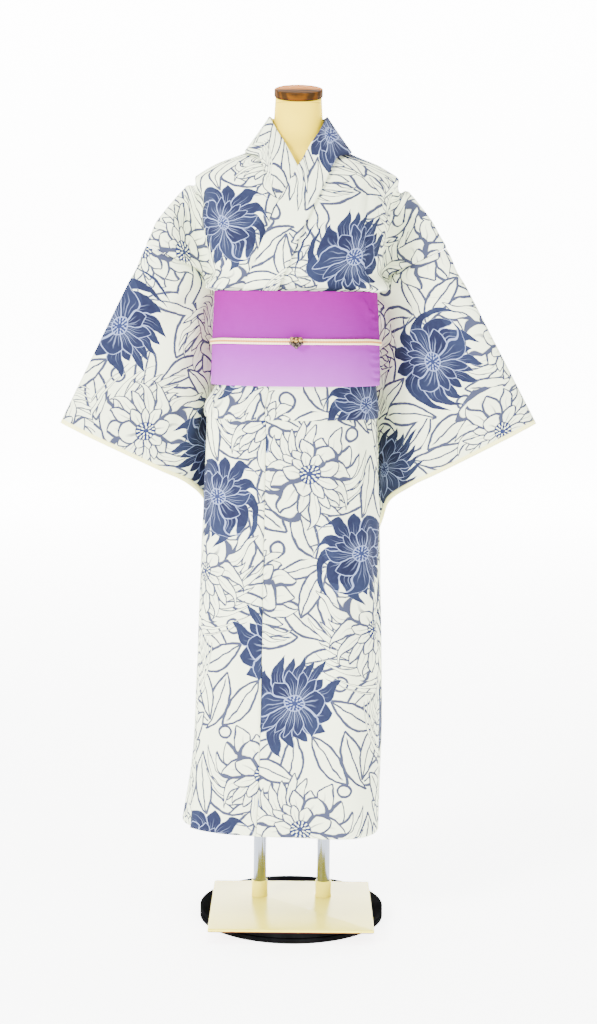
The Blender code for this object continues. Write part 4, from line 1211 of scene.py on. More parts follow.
def petal_ring(tree, spot, seed, count, length, spread, curl, ring, pen):
    """One ring of petals round a flower: where they are, their drawn edges, and a mark along each."""
    x, y, _ = spot.parts()
    reach = spot.vector("LENGTH", output=1)
    angle = y.math("ARCTAN2", x)
    hook = (reach - PETAL_HOOK_FROM).math("MAXIMUM", 0.0)
    uneven = (angle * 2.0 + seed * 2.1).math("SINE") * PETAL_UNEVEN
    sway = (angle + seed * 1.3).math("SINE") * (reach * curl + hook * hook * (curl * PETAL_HOOK))
    ripple = (reach * PETAL_RIPPLES + seed + angle * 3.0).math("SINE") * reach * PETAL_RIPPLE
    turn = angle + sway + ripple + uneven + seed * (RING_TURN + ring)
    sector = turn * (count / (2.0 * math.pi))
    index = (sector + 0.5).math("FLOOR")
    offset = sector - index
    draw = tree.nodes.new("ShaderNodeTexWhiteNoise")
    draw.noise_dimensions = "2D"
    petal = index.math("FLOORED_MODULO", float(count))
    connect(tree, join(tree, petal, seed + ring), draw.inputs["Vector"])
    chance = Term(tree, draw.outputs["Value"])
    lopsided = (angle + seed * 4.0).math("SINE") * FLOWER_LOPSIDED + 1.0
    share = reach / (lopsided * (chance * (PETAL_VARIES * length) + PETAL_SHORTEST * length))
    aside = abs(offset) * reach * (2.0 * math.pi / count)
    border = reach * (math.pi / count)
    taper = (share ** PETAL_FALL * -1.0 + 1.0).math("MAXIMUM", 0.0)
    half = share ** PETAL_RISE * taper * spread
    inside = share.math("LESS_THAN", 1.0)
    fill = (half - aside).ramp(0.0, PEN_SOFT) * inside
    edge = (half.math("MINIMUM", border) - aside).line(pen, PEN_SOFT) * inside
    rib = offset * reach * (2.0 * math.pi / count) - (chance - 0.5) * RIB_ASIDE * reach
    rib = rib.line(RIB_WIDTH * pen, PEN_SOFT)
    rib = rib * share.ramp(0.10, 0.3) * share.ramp(0.80, 0.55)
    vein = (abs(offset) - VEIN_PLACE) * reach * (2.0 * math.pi / count)
    vein = vein.line(VEIN_WIDTH * pen, PEN_SOFT)
    vein = vein * share.ramp(0.25, 0.4) * share.ramp(0.70, 0.50)
    return fill, edge, rib, vein, chance


def flower_centre(spot):
    """A round centre with two rings of dots."""
    x, y, _ = spot.parts()
    reach = spot.vector("LENGTH", output=1) / CENTRE_SHARE
    turn = y.math("ARCTAN2", x)
    disc = reach.ramp(1.04, 0.96)
    outer = (turn * OUTER_DOTS).math("SINE").ramp(0.25, 0.75) * (reach - 0.74).line(0.12, 0.06)
    inner = (turn * INNER_DOTS + 0.6).math("SINE").ramp(0.25, 0.75) * (reach - 0.40).line(0.10, 0.06)
    rim = (reach - 0.98).line(0.06, 0.06)
    return disc, outer.over(inner), rim


def print_group():
    """The dyed pattern as one node group: flat cloth coordinates in, colour out."""
    tree = bpy.data.node_groups.new("chrysanthemum print", "ShaderNodeTree")
    tree.interface.new_socket(name="Place", in_out="INPUT", socket_type="NodeSocketVector")
    tree.interface.new_socket(name="Colour", in_out="OUTPUT", socket_type="NodeSocketColor")
    source = tree.nodes.new("NodeGroupInput")
    target = tree.nodes.new("NodeGroupOutput")
    place = Term(tree, source.outputs[0])
    for scale, amount in HAND_WAVER:
        drift = noise(tree, place, scale, output="Color").vector("SUBTRACT", (0.5, 0.5, 0.5))
        place = place.vector("ADD", drift.vector("MULTIPLY", (amount, amount, 0.0)))

    circles = None
    for u, v, radius in RINGS[1:]:
        moved = place.vector("SUBTRACT", (u, v, 0.0))
        moved = moved.vector("WRAP", TILE_HIGH, TILE_LOW)
        ring = (moved.vector("LENGTH", output=1) - radius).line(LINE, LINE_SOFT)
        circles = ring if circles is None else circles.over(ring)
    result = blend(tree, circles, GROUND, LINE_BLUE)

    for leaves in (LEAVES_BELOW, LEAVES_ABOVE):
        spot, _ = nearest_motif(tree, place, leaves)
        x, y, _ = spot.parts()
        arch = (x * x * -1.0 + 1.0).math("MAXIMUM", 0.0)
        y = y + arch * LEAF_ARCH - LEAF_DROP
        outline = arch - abs(y)
        body = outline.ramp(0.0, LEAF_SOFT)
        drawn = outline.line(LEAF_LINE, LEAF_SOFT) * abs(x).math("LESS_THAN", 1.02)
        rib = y.line(0.6 * LEAF_LINE, LEAF_SOFT) * x.ramp(0.85, 0.70) * body
        result = blend(tree, body, result, GROUND)
        result = blend(tree, drawn.over(rib), result, LINE_BLUE)

    spot, seed = nearest_motif(tree, place, OUTLINE_FLOWERS)
    covered = None
    drawn = None
    for ring, (count, length, spread, curl) in enumerate(OUTLINE_PETALS[1:]):
        petals = petal_ring(tree, spot, seed, count, length, spread, curl, float(ring), PEN)
        fill, edge, rib, _, _ = petals
        marks = edge.over(rib * 0.7)
        drawn = marks if drawn is None else drawn.but_not(fill).over(marks)
        covered = fill if covered is None else covered.over(fill)
    disc, dots, _ = flower_centre(spot)
    result = blend(tree, covered, result, GROUND)
    result = blend(tree, drawn, result, LINE_BLUE)
    heart = blend(tree, dots, CENTRE_BLUE, GROUND)
    result = blend(tree, disc, result, heart)

    spot, seed = nearest_motif(tree, place, DARK_FLOWERS)
    covered = None
    drawn = None
    for ring, (count, length, spread, curl) in enumerate(DARK_PETALS[1:]):
        draws = ring + DARK_DRAWS
        petals = petal_ring(tree, spot, seed, count, length, spread, curl, draws, PALE_PEN)
        fill, edge, rib, vein, chance = petals
        marks = edge.over(rib.over(vein * 0.7) * 0.6)
        drawn = marks if drawn is None else drawn.but_not(fill).over(marks)
        covered = fill if covered is None else covered.over(fill)
    reach = spot.vector("LENGTH", output=1)
    streak = noise(tree, place, 130.0, detail=3.0)
    worn = (streak * 0.5 + chance * 0.35 + reach * 0.25).ramp(0.25, 0.95)
    depth = blend(tree, worn, INDIGO_DEEP, INDIGO_PALE)
    result = blend(tree, covered, result, depth)
    result = blend(tree, drawn * covered * 0.85, result, VEIN_PALE)
    disc, dots, rim = flower_centre(spot)
    heart = blend(tree, dots.over(rim * 0.8), CENTRE_BLUE, VEIN_PALE)
    result = blend(tree, disc, result, heart)
    tree.links.new(result.socket, target.inputs[0])
    return tree


def cotton_material():
    """Printed cotton: the pattern, bare selvedge at the cuffs, and a fine plain weave."""
    material, tree, shader = new_material("cotton_print", 0.86, sheen=0.02, gloss=0.06)
    place = uv_place(tree)
    group = tree.nodes.new("ShaderNodeGroup")
    group.node_tree = print_group()
    connect(tree, place, group.inputs[0])
    edge = tree.nodes.new("ShaderNodeAttribute")
    edge.attribute_name = "edge"
    bare = Term(tree, edge.outputs["Fac"]).ramp(SELVEDGE, 0.75 * SELVEDGE)
    base = blend(tree, bare, Term(tree, group.outputs[0]), SELVEDGE_PALE)
    slub = noise(tree, place.vector("MULTIPLY", YARN_ALONG), 1.0)
    slub_across = noise(tree, place.vector("MULTIPLY", YARN_ACROSS), 1.0)
    yarn = slub + slub_across
    cloudy = noise(tree, place, 5.0, detail=3.0)
    shade = (yarn * 0.10 + cloudy * 0.06 + 0.87).math("MINIMUM", 1.0)
    base = base.vector("MULTIPLY", join(tree, shade, shade, shade))
    weave = wave(tree, place, WEAVE_SCALE, "X") * wave(tree, place, WEAVE_SCALE, "Y")
    paint(tree, shader, base, weave * 0.5 + yarn, strength=0.22, distance=0.0006)
    return material


def obi_material():
    """Thin dyed sash: deep orchid above its cord, pale lavender below, with fine ribs."""
    material, tree, shader = new_material("obi_cloth", 0.60, gloss=0.01)
    place = uv_place(tree)
    _, height, _ = place.parts()
    mottle = noise(tree, place, 16.0, detail=4.0) - 0.5
    height = height + mottle * DYE_MOTTLE
    upper = blend(tree, height.ramp(*DYE_ABOVE_CORD), OBI_ABOVE_CORD, OBI_TOP)
    lower = blend(tree, height.ramp(*DYE_BELOW_CORD), OBI_BOTTOM, OBI_BELOW_CORD)
    base = blend(tree, height.ramp(*DYE_STEP), lower, upper)
    rib = wave(tree, place, 210.0, "Y", distortion=0.6, detail_scale=3.0)
    thread = noise(tree, place.vector("MULTIPLY", (40.0, 1400.0, 0.0)), 1.0)
    shade = thread * 0.16 + rib * 0.05 + 0.84
    base = base.vector("MULTIPLY", join(tree, shade, shade, shade))
    paint(tree, shader, base, rib + thread, strength=0.25, distance=0.0005)
    return material


def cord_material():
    """Flat silk braid: white edges beside a beige middle."""
    material, tree, shader = new_material("cord_braid", 0.62, sheen=0.05, gloss=0.2)
    place = uv_place(tree)
    along, across, _ = place.parts()
    middle = abs(across).ramp(*CORD_STRIPE)
    base = blend(tree, middle, CORD_WHITE, CORD_BEIGE)
    chevron = ((along * BRAID_PITCH + abs(across) * BRAID_SLANT).math("SINE") + 1.0) * 0.5
    shade = chevron * 0.16 + 0.84
    base = base.vector("MULTIPLY", join(tree, shade, shade, shade))
    paint(tree, shader, base, chevron, strength=0.6, distance=0.0006)
    return material


def gold_material(name, bright, dull):
    """Cast metal with a worn patina, bright and dark in random patches."""
    material, tree, shader = new_material(name, 0.32, metallic=1.0)
    place = object_place(tree)
    patina = noise(tree, place, 260.0, detail=4.0)
    base = blend(tree, patina.ramp(0.35, 0.62), dull, bright)
    paint(tree, shader, base, patina, strength=0.3, distance=0.0004, rough=patina * 0.3 + 0.2)
    return material


def form_material():
    """Cream jersey stretched over the dress form."""
    material, tree, shader = new_material("form_cloth", 0.60, sheen=0.01, gloss=0.06)
    place = object_place(tree)
    cloudy = noise(tree, place, 9.0, detail=3.0)
    base = blend(tree, cloudy.ramp(0.3, 0.7), FORM_SHADE, FORM_LIGHT)
    knit = noise(tree, place.vector("MULTIPLY", (1.0, 1.0, 0.35)), 1500.0, detail=1.0)
    _, _, height = place.parts()
    seam = (height - NECK_SEAM_HEIGHT).line(0.0006, 0.0005)
    base = blend(tree, seam * 0.6, base, FORM_SEAM)
    paint(tree, shader, base, knit - seam * 2.0, strength=0.16, distance=0.0006)
    return material


def wood_material():
    """Honey lacquered wood with its grain across the cap; its top is painted light and its side painted
    dark as shade.
    """
    material, tree, shader = new_material("lacquered_wood", 0.50, gloss=0.01)
    place = object_place(tree)
    grain = noise(tree, place.vector("MULTIPLY", WOOD_GRAIN), 1.0, detail=5.0, roughness=0.6)
    bands = wave(tree, place, 26.0, "Y", distortion=3.0, detail_scale=1.5)
    streaked = (grain * 0.7 + bands * 0.3).ramp(0.25, 0.75) * 0.35
    _, _, height = place.parts()
    # Painted light and shade: the cap's top face takes the lit colour and its side the shaded one, with the
    # grain over both.
    face = height.ramp(CAP_HEIGHT + SEAM + 0.7 * CAP_THICKNESS, CAP_HEIGHT + SEAM + CAP_THICKNESS)
    base = blend(tree, face * 0.8 + streaked - 0.15, WOOD_SHADED_SIDE, WOOD_LIT_TOP)
    paint(tree, shader, base, grain, strength=0.08, distance=0.0005)
    return material


def chrome_material():
    material, tree, shader = new_material("chrome", 0.12, metallic=1.0)
    place = object_place(tree)
    brushed = noise(tree, place.vector("MULTIPLY", CHROME_BRUSHING), 1.0, detail=3.0)
    base = blend(tree, brushed, CHROME_DULL, CHROME_BRIGHT)
    paint(tree, shader, base, brushed, strength=0.03, distance=0.0004, rough=brushed * 0.12 + 0.08)
    return material


def enamel_material():
    """Cream enamel, glossy, with the faint unevenness of sprayed paint."""
    material, tree, shader = new_material("cream_enamel", 0.30, gloss=0.08)
    place = object_place(tree)
    orange_peel = noise(tree, place, 380.0, detail=2.0)
    cloudy = noise(tree, place, 7.0, detail=4.0)
    base = blend(tree, cloudy.ramp(0.3, 0.7), ENAMEL_SHADE, ENAMEL_LIGHT)
    paint(tree, shader, base, orange_peel, strength=0.05, distance=0.0005, rough=cloudy * 0.14 + 0.18)
    return material


def plastic_material():
    material, tree, shader = new_material("black_plastic", 0.70, gloss=0.0)
    place = object_place(tree)
    grain = noise(tree, place, 900.0, detail=2.0)
    dust = noise(tree, place, 24.0, detail=5.0)
    base = blend(tree, dust.ramp(0.45, 0.75), PLASTIC_BLACK, PLASTIC_DUSTY)
    paint(tree, shader, base, grain, strength=0.12, distance=0.0004, rough=dust * 0.2 + 0.66)
    return material


def underlay_material():
    """The thin orange-red rim of the pad under the base plate."""
    material, tree, shader = new_material("rubber_pad", 0.7)
    place = object_place(tree)
    grain = noise(tree, place, 600.0)
    base = blend(tree, grain, PAD_RED, PAD_ORANGE)
    paint(tree, shader, base, grain, strength=0.1, distance=0.0004)
    return material


# Finer surfaces from the part's own rows.


def step_counts(points, spacing):
    """How many steps each stretch between two rows is cut into."""
    runs = np.mean(np.linalg.norm(np.diff(points, axis=0), axis=2), axis=1)
    return [max(1, math.ceil(float(run) / spacing)) for run in runs]


def spline_rows(points, counts, closed=False):
    """Rows of points resampled along a centripetal spline, with a count of steps for each stretch."""
    if closed:
        padded = np.concatenate((points[-1:], points, points[:2]))
    else:
        padded = np.concatenate((2.0 * points[:1] - points[1:2], points, 2.0 * points[-1:] - points[-2:-1]))
    fine = []
    for index, steps in enumerate(counts):
        p0, p1, p2, p3 = padded[index:index + 4]
        k0, k1, k2 = [np.sqrt(np.linalg.norm(b - a, axis=1, keepdims=True)) + 1e-5
                      for a, b in ((p0, p1), (p1, p2), (p2, p3))]
        leave = ((p1 - p0) / k0 - (p2 - p0) / (k0 + k1) + (p2 - p1) / k1) * k1
        arrive = ((p2 - p1) / k1 - (p3 - p1) / (k1 + k2) + (p3 - p2) / k2) * k1
        for step in range(steps):
            u = step / steps
            fine.append((2 * u ** 3 - 3 * u ** 2 + 1) * p1 + (u ** 3 - 2 * u ** 2 + u) * leave
                        + (3 * u ** 2 - 2 * u ** 3) * p2 + (u ** 3 - u ** 2) * arrive)
    if not closed:
        fine.append(points[-1])
    return np.array(fine)


def grid(rows):
    return np.array([[tuple(point) for point in row] for row in rows])


def refine(points, row_counts, column_counts, closed=False):
    """A coarse grid made fine along both of its ways."""
    points = spline_rows(points, row_counts)
    return spline_rows(points.transpose(1, 0, 2), column_counts, closed).transpose(1, 0, 2)


def column_steps(points, spacing, closed=False):
    if closed:
        points = np.concatenate((points, points[:, :1]), axis=1)
    return step_counts(points.transpose(1, 0, 2), spacing)


def lengths(points, axis):
    """Distance run along a grid from its first row or column."""
    steps = np.linalg.norm(np.diff(points, axis=axis), axis=2)
    zero = np.zeros_like(np.take(steps, [0], axis=axis))
    return np.cumsum(np.concatenate((zero, steps), axis=axis), axis=axis)


def normals(points):
    """Unit normals of a grid, pointing away from the axis of the figure."""
    cross = np.cross(np.gradient(points, axis=1), np.gradient(points, axis=0))
    cross /= np.maximum(np.linalg.norm(cross, axis=2, keepdims=True), 1e-9)
    outward = np.sum(cross * points * (1.0, 1.0, 0.0))
    return -cross if outward < 0.0 else cross


def radial(points):
    """Unit horizontal directions away from the figure's axis."""
    flat = points * (1.0 / FIGURE_WIDE ** 2, 1.0 / FIGURE_DEEP ** 2, 0.0)
    return flat / np.maximum(np.linalg.norm(flat, axis=2, keepdims=True), 1e-9)


def soft_step(values):
    values = np.clip(values, 0.0, 1.0)
    return values * values * (3.0 - 2.0 * values)


def of_side(pair, side):
    """The value of one side from a pair for the robe's right and its left."""
    return pair[1] if side > 0 else pair[0]


def swell(values, heights):
    """0 at the first and last of three heights and 1 at the middle one."""
    low, full, high = heights
    return soft_step((values - low) / (full - low)) * soft_step((high - values) / (high - full))


def creases(rows, across, along):
    """Soft troughs along listed lines, each with a ridge beside it and both ends faded."""
    total = np.zeros_like(across)
    for s0, t0, s1, t1, width, depth in rows[1:]:
        ds, dt = s1 - s0, t1 - t0
        reach = math.hypot(ds, dt)
        share = ((across - s0) * ds + (along - t0) * dt) / reach ** 2
        side = ((across - s0) * dt - (along - t0) * ds) / reach
        side = side - FOLD_WANDER * width * np.sin(FOLD_BENDS * share + FOLD_PHASE * s0)
        ends = soft_step((share + FOLD_PAST_END) / FOLD_FADE)
        ends *= soft_step((1.0 + FOLD_PAST_END - share) / FOLD_FADE)
        trough = -np.exp(-(side / width) ** 2)
        aside = (side - FOLD_RIDGE_PLACE * width) / (FOLD_RIDGE_WIDTH * width)
        ridge = FOLD_RIDGE * np.exp(-aside ** 2)
        total += FOLD_GAIN * depth * ends * (trough + ridge)
    return total


def waves(rows, across, along):
    """Slow uneven swells."""
    total = np.zeros_like(across)
    for per_across, per_along, phase, height in rows[1:]:
        total += height * np.sin(2.0 * math.pi * (per_across * across + per_along * along) + phase)
    return total


def front_places(points):
    """Distance round the figure from the centre front, and height."""
    turn = np.arctan2(points[..., 0] / FIGURE_WIDE, -points[..., 1] / FIGURE_DEEP)
    return turn * FIGURE_ROUND, points[..., 2]


def figure_folds(points):
    """The folds that all layers on the figure share, as distances outward."""
    around, height = front_places(points)
    low = soft_step((SKIRT_WAVES_TOP - height) / SKIRT_WAVES_RUN)
    return waves(SKIRT_WAVES, around, height) * low + creases(FRONT_CREASES, around, height)


def shaped_body(points, chest_table):
    """A panel with its folds: outward round the figure below, along its normals on the chest."""
    height = points[..., 2]
    chest = soft_step((height - CHEST_FOLDS_FROM) / CHEST_FOLDS_RUN)
    amount = figure_folds(points)
    amount += chest * creases(chest_table, points[..., 0], height)
    amount += chest * waves(CHEST_WAVES, points[..., 0], height)
    chest = chest[..., None]
    direction = radial(points) * (1.0 - chest) + normals(points) * chest
    bag = SIDE_BAG * swell(height, SIDE_BAG_HEIGHTS)
    bag = bag * soft_step((np.abs(points[..., 0]) - SIDE_BAG_FROM) / SIDE_BAG_RUN)
    shaped = points + direction * amount[..., None]
    shaped[..., 0] += bag * np.sign(points[..., 0])
    top, start, fall = SHOULDER_RIDGE
    ridge = top - fall * (np.abs(points[..., 0]) - start)
    near = 1.0 - soft_step((ridge - height) / SHOULDER_DEEP)
    shaped[..., 2] += SHOULDER_LIFT * near * swell(np.abs(points[..., 0]), SHOULDER_LIFT_SIDES)
    return shaped


# The robe's pieces.


def cloth_object(name, sheets, wall, slot, nodes, closed=False):
    """A thin shell from grids of points, with flat cloth coordinates and the distance to a selvedge."""
    vertices = []
    faces = []
    flat = []
    edges = []
    for points, places, edge in sheets:
        count, wide = points.shape[:2]
        start = len(vertices)
        vertices += [tuple(p) for p in points.reshape(-1, 3)]
        edges += [1.0] * (count * wide) if edge is None else [float(e) for e in edge.ravel()]
        for row in range(count - 1):
            for column in range(wide if closed else wide - 1):
                after = (column + 1) % wide
                faces.append([start + row * wide + column, start + row * wide + after,
                              start + (row + 1) * wide + after, start + (row + 1) * wide + column])
                beyond = column + 1 if closed else after
                flat += [places[row, column], places[row, beyond],
                         places[row + 1, beyond], places[row + 1, column]]
    mesh = bpy.data.meshes.new(name)
    mesh.from_pydata(vertices, [], faces)
    layer = mesh.uv_layers.new(name="cloth")
    layer.data.foreach_set("uv", np.array(flat, dtype=np.float32).ravel())
    attribute = mesh.attributes.new("edge", "FLOAT", "POINT")
    attribute.data.foreach_set("value", np.array(edges, dtype=np.float32))
    shape = bmesh.new()
    shape.from_mesh(mesh)
    bmesh.ops.remove_doubles(shape, verts=shape.verts, dist=WELD)
    bmesh.ops.recalc_face_normals(shape, faces=shape.faces)
    shape.to_mesh(mesh)
    shape.free()
    mesh.shade_smooth()
    item = bpy.data.objects.new(name, mesh)
    bpy.context.scene.collection.objects.link(item)
    thick = item.modifiers.new("wall", "SOLIDIFY")
    thick.thickness = wall
    thick.offset = 0.0
    thick.use_even_offset = True
    settle(item, slot, nodes)
    return item


def settle(item, slot, nodes, body="figure", look=None):
    """Give a piece its finish, its body and the nodes that it stands for."""
    item.data.materials.append(FINISH[look or slot])
    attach(item, body)
    if nodes:
        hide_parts(*nodes)


def body_places(points, reference, offset, behind, shift):
    """Flat coordinates of a body panel; the cloth hidden in its tucks is skipped."""
    across = lengths(points, 1)
    across = across - across[:, reference:reference + 1]
    along = lengths(points, 0)[:, reference:reference + 1] + np.zeros_like(across)
    layer_two = along - SKIRT_RUN
    on_chest = soft_step((layer_two - CHEST_PRINT_FROM) / CHEST_PRINT_RUN)
    along = along + TUCKED_AT_WAIST * soft_step(layer_two / TUCKED_AT_WAIST_RUN)
    along = along + TUCKED_IN_OBI * on_chest
    across = across + shift * on_chest
    if behind:
        along = 2.0 * along[-1:] - along
    return np.stack((across + offset[0], along + offset[1]), axis=2)


def make_body_cloth(name, side, offset):
    front = grid(body_rows(side, behind=False))
    back = grid(body_rows(side, behind=True))
    rows = step_counts(front, CLOTH_STEP)
    shoulder = sum(rows[:-len(SHOULDER_ROWS)])
    sheets = []
    for points, behind in ((front, False), (back, True)):
        columns = column_steps(points, CLOTH_STEP)
        fine = refine(points, rows, columns)
        fine = shaped_body(fine, CHEST_BACK_CREASES if behind else CHEST_FRONT_CREASES)
        shift = of_side(CHEST_SHIFT, side)
        places = body_places(fine, sum(columns[:CHEST_COLUMNS]), offset, behind, shift)
        sheets.append((fine, places, None))
    sheets[1][0][shoulder:, -1] = sheets[0][0][shoulder:, -1]
    item = cloth_object(f"robe_{name}", sheets, WALL, "cotton_print", [name])


def make_okumi_cloth(name, side, offset):
    rows = [okumi_row(side, height, 0.0) for height in SKIRT_ROWS]
    for height, layer in FOLD_ROWS:
        if layer < CHEST_LAYER or height <= OKUMI_CHEST[-1][0]:
            rows.append(okumi_row(side, height, layer))
    points = grid(rows)
    points = refine(points, step_counts(points, CLOTH_STEP), column_steps(points, CLOTH_STEP))
    points = points + radial(points) * figure_folds(points)[..., None]
    across = lengths(points, 1)
    along = lengths(points, 0)[:, :1] + np.zeros_like(across)
    along = along + TUCKED_AT_WAIST * soft_step((along - SKIRT_RUN) / TUCKED_AT_WAIST_RUN)
    places = np.stack((across + offset[0], along + offset[1]), axis=2)
    item = cloth_object(f"robe_{name}", [(points, places, None)], WALL, "cotton_print", [name])


def sleeve_directions(points, side):
    """Horizontal directions toward the viewer, the same for a sleeve's front and its back."""
    flat = []
    for x, _, _ in points.reshape(-1, 3):
        normal = plan_normal(plan_distance(min(abs(float(x)), SLEEVE_PLAN[1][0])))
        flat.append((-side * normal.x, -normal.y, 0.0))
    return np.array(flat).reshape(points.shape)


def make_sleeve_cloth(name, side, offset):
    """A flat tube; its print runs down the front from the top fold and back up behind."""
    points = grid([sleeve_ring(side, p) for p in SLEEVE_P])
    points = refine(points, step_counts(points, CLOTH_STEP), column_steps(points, CLOTH_STEP, True), True)
    across = np.mean(lengths(points, 0), axis=1, keepdims=True) + np.zeros(points.shape[:2])
    across = across / across[-1:] * SLEEVE_WIDTH
    loop = lengths(np.concatenate((points, points[:, :1]), axis=1), 1)
    loop = loop / loop[:, -1:] * 2.0 * SLEEVE_LENGTH
    down = loop[:, :-1]
    folded = SLEEVE_LENGTH - np.abs(SLEEVE_LENGTH - down)
    amount = creases(SLEEVE_CREASES, across, folded)
    amount += waves(SLEEVE_WAVES, across + SLEEVE_WAVES_SHIFT * side, folded)
    amount *= soft_step(folded / SLEEVE_CALM_TOP) * soft_step(across / SLEEVE_CALM_SEAM)
    amount *= soft_step((SLEEVE_LENGTH - folded) / SLEEVE_CALM_BOTTOM)
    amount *= 1.0 - CUFF_CALM * soft_step(across / SLEEVE_WIDTH - CUFF_CALM_FROM)
    points = points + sleeve_directions(points, side) * amount[..., None]
    inward = swell(points[..., 2], UNDERARM_HEIGHTS) * (1.0 - soft_step(across / UNDERARM_RUN))
    points[..., 0] -= side * of_side(UNDERARM_FILL, side) * inward
    wide_across = np.concatenate((across, across[:, :1]), axis=1)
    places = np.stack((wide_across + offset[0], loop + offset[1]), axis=2)
    edge = SLEEVE_WIDTH - across
    sheets = [(points, places, edge)]
    item = cloth_object(f"robe_{name}", sheets, WALL, "cotton_print", [name], closed=True)


def make_collar_cloth():
    """The collar is a folded band; it lies on the fronts and stands up behind the neck."""
    points = grid(collar_rows(-1)[:0:-1] + collar_rows(1))
    points = refine(points, step_counts(points, COLLAR_STEP), column_steps(points, COLLAR_STEP))
    across = lengths(points, 1)
    along = lengths(points, 0)[:, :1] + np.zeros_like(across)
    places = np.stack((across + COLLAR_PRINT[0], along + COLLAR_PRINT[1]), axis=2)
    item = cloth_object("robe_collar", [(points, places, None)], COLLAR_WALL, "cotton_print", ["collar"])


def make_robe():
    make_body_cloth("body_right", -1, BODY_RIGHT_PRINT)
    make_body_cloth("body_left", 1, BODY_LEFT_PRINT)
    make_okumi_cloth("overlap_right", -1, OKUMI_RIGHT_PRINT)
    make_okumi_cloth("overlap_left", 1, OKUMI_LEFT_PRINT)
    make_sleeve_cloth("sleeve_right", -1, SLEEVE_RIGHT_PRINT)
    make_sleeve_cloth("sleeve_left", 1, SLEEVE_LEFT_PRINT)
    make_collar_cloth()


# Sash, cord and ornament.


def obi_creases(around, height):
    return creases(OBI_CREASES, around, height) + waves(OBI_WAVES, around, height)


def make_obi():
    """The sash follows the part's rows, with small pulled folds where it turns to the sides."""
    heights = np.linspace(OBI[1][0], OBI[-1][0], OBI_FINE_ROWS)
    turns = np.linspace(OBI_START_TURN, OBI_END_TURN, OBI_FINE_STEPS)
    rows = []
    for height in heights:
        row = []
        for turn in turns:
            lap = OBI_LAP * smooth((turn - OBI_LAP_FROM) / OBI_LAP_RUN)
            row.append(tuple(figure_point(float(height), float(turn), lap, rows=OBI)))
        rows.append(row)
    points = np.array(rows)
    around, height = front_places(points)
    outer = (turns > OBI_START_TURN + OBI_PLAIN_ENDS) & (turns < OBI_END_TURN - OBI_PLAIN_ENDS)
    amount = obi_creases(around, height) * outer[None, :]
    band = soft_step((height - CORD_HEIGHT + CORD_BED) / CORD_BED_RUN)
    band *= soft_step((CORD_HEIGHT + CORD_BED - height) / CORD_BED_RUN)
    amount = np.maximum(amount, OBI_CREASE_FLOOR) * (1.0 - band)
    points = points + radial(points) * amount[..., None]
    across = lengths(points, 1)
    across = across - np.interp(0.0, turns, across[0])
    places = np.stack((across, height - OBI[1][0]), axis=2)
    item = cloth_object("obi_sash", [(points, places, None)], OBI_WALL, "obi_cloth", ["obi"])


def cord_line(turn, out):
    height = CORD_HEIGHT - CORD_DIP * smooth((abs(turn) - CORD_DIP_FROM) / CORD_DIP_RUN)
    lap_start = CORD_LAP_RIGHT if turn > 0.0 else CORD_LAP_LEFT
    lap = OBI_LAP * smooth((abs(turn) - lap_start) / CORD_LAP_RUN)
    return figure_point(height, turn, out + lap, rows=OBI)


def make_cord():
    """The braid: a flat rounded band whose edges are raised over its middle."""
    out = OBI_WALL / 2.0 + CORD_GAP + CORD_THICKNESS / 2.0
    rings = []
    flats = []
    run = 0.0
    previous = None
    for step in range(CORD_FINE_STEPS + 1):
        turn = 360.0 * step / CORD_FINE_STEPS - 180.0
        centre = cord_line(turn, out)
        along = (cord_line(turn + CORD_AIM, out) - cord_line(turn - CORD_AIM, out)).normalized()
        outward = Vector((along.y, -along.x, 0.0)).normalized()
        run += (centre - previous).length if previous is not None else 0.0
        previous = centre
        pressed = CORD_PRESSED * smooth((abs(turn) - CORD_PRESSED_FROM) / CORD_PRESSED_RUN)
        ring = []
        flat = []
        for corner in range(CORD_FINE_SIDES):
            angle = 2.0 * math.pi * corner / CORD_FINE_SIDES
            upward = math.copysign(abs(math.sin(angle)) ** BRAID_UPWARD, math.sin(angle))
            groove = 1.0 - BRAID_GROOVE * math.exp(-(upward / BRAID_GROOVE_WIDTH) ** 2)
            sideways = math.copysign(abs(math.cos(angle)) ** BRAID_SIDEWAYS, math.cos(angle)) * groove
            level = sideways * (1.0 - pressed) - pressed
            ring.append(tuple(centre + outward * (BRAID_THICK * CORD_THICKNESS * level)
                              + Vector((0.0, 0.0, BRAID_WIDE * CORD_WIDTH * upward))))
            flat.append((run, upward))
        rings.append(ring)
        flats.append(flat)
    mesh_from_rings("obi_cord_braid", np.array(rings), np.array(flats), "cord_braid", ["obi_cord"])


def make_knot():
    """A flat square knot of the same braid behind."""
    low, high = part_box("cord_knot")
    shape = bmesh.new()
    bmesh.ops.create_cube(shape, size=1.0)
    centre = 0.5 * (low + high)
    size = high - low
    bmesh.ops.subdivide_edges(shape, edges=shape.edges, cuts=KNOT_CUTS, use_grid_fill=True)
    for vertex in shape.verts:
        x, y, z = vertex.co * 2.0
        wide = 1.0 - KNOT_WIDTH_DRAWN[0] * y * y - KNOT_WIDTH_DRAWN[1] * z * z
        tall = 1.0 - KNOT_ENDS_DRAWN * x * x
        deep = tall - KNOT_EDGES_DRAWN * z * z
        bulge = 1.0 + KNOT_BULGE * math.cos(3.0 * math.pi * x)
        local = Vector((x * wide * size.x, y * deep * size.y * bulge, z * tall * size.z * bulge))
        vertex.co = local * 0.5 + centre
    finish_mesh("obi_cord_knot", shape, "cord_braid", ["cord_knot"])


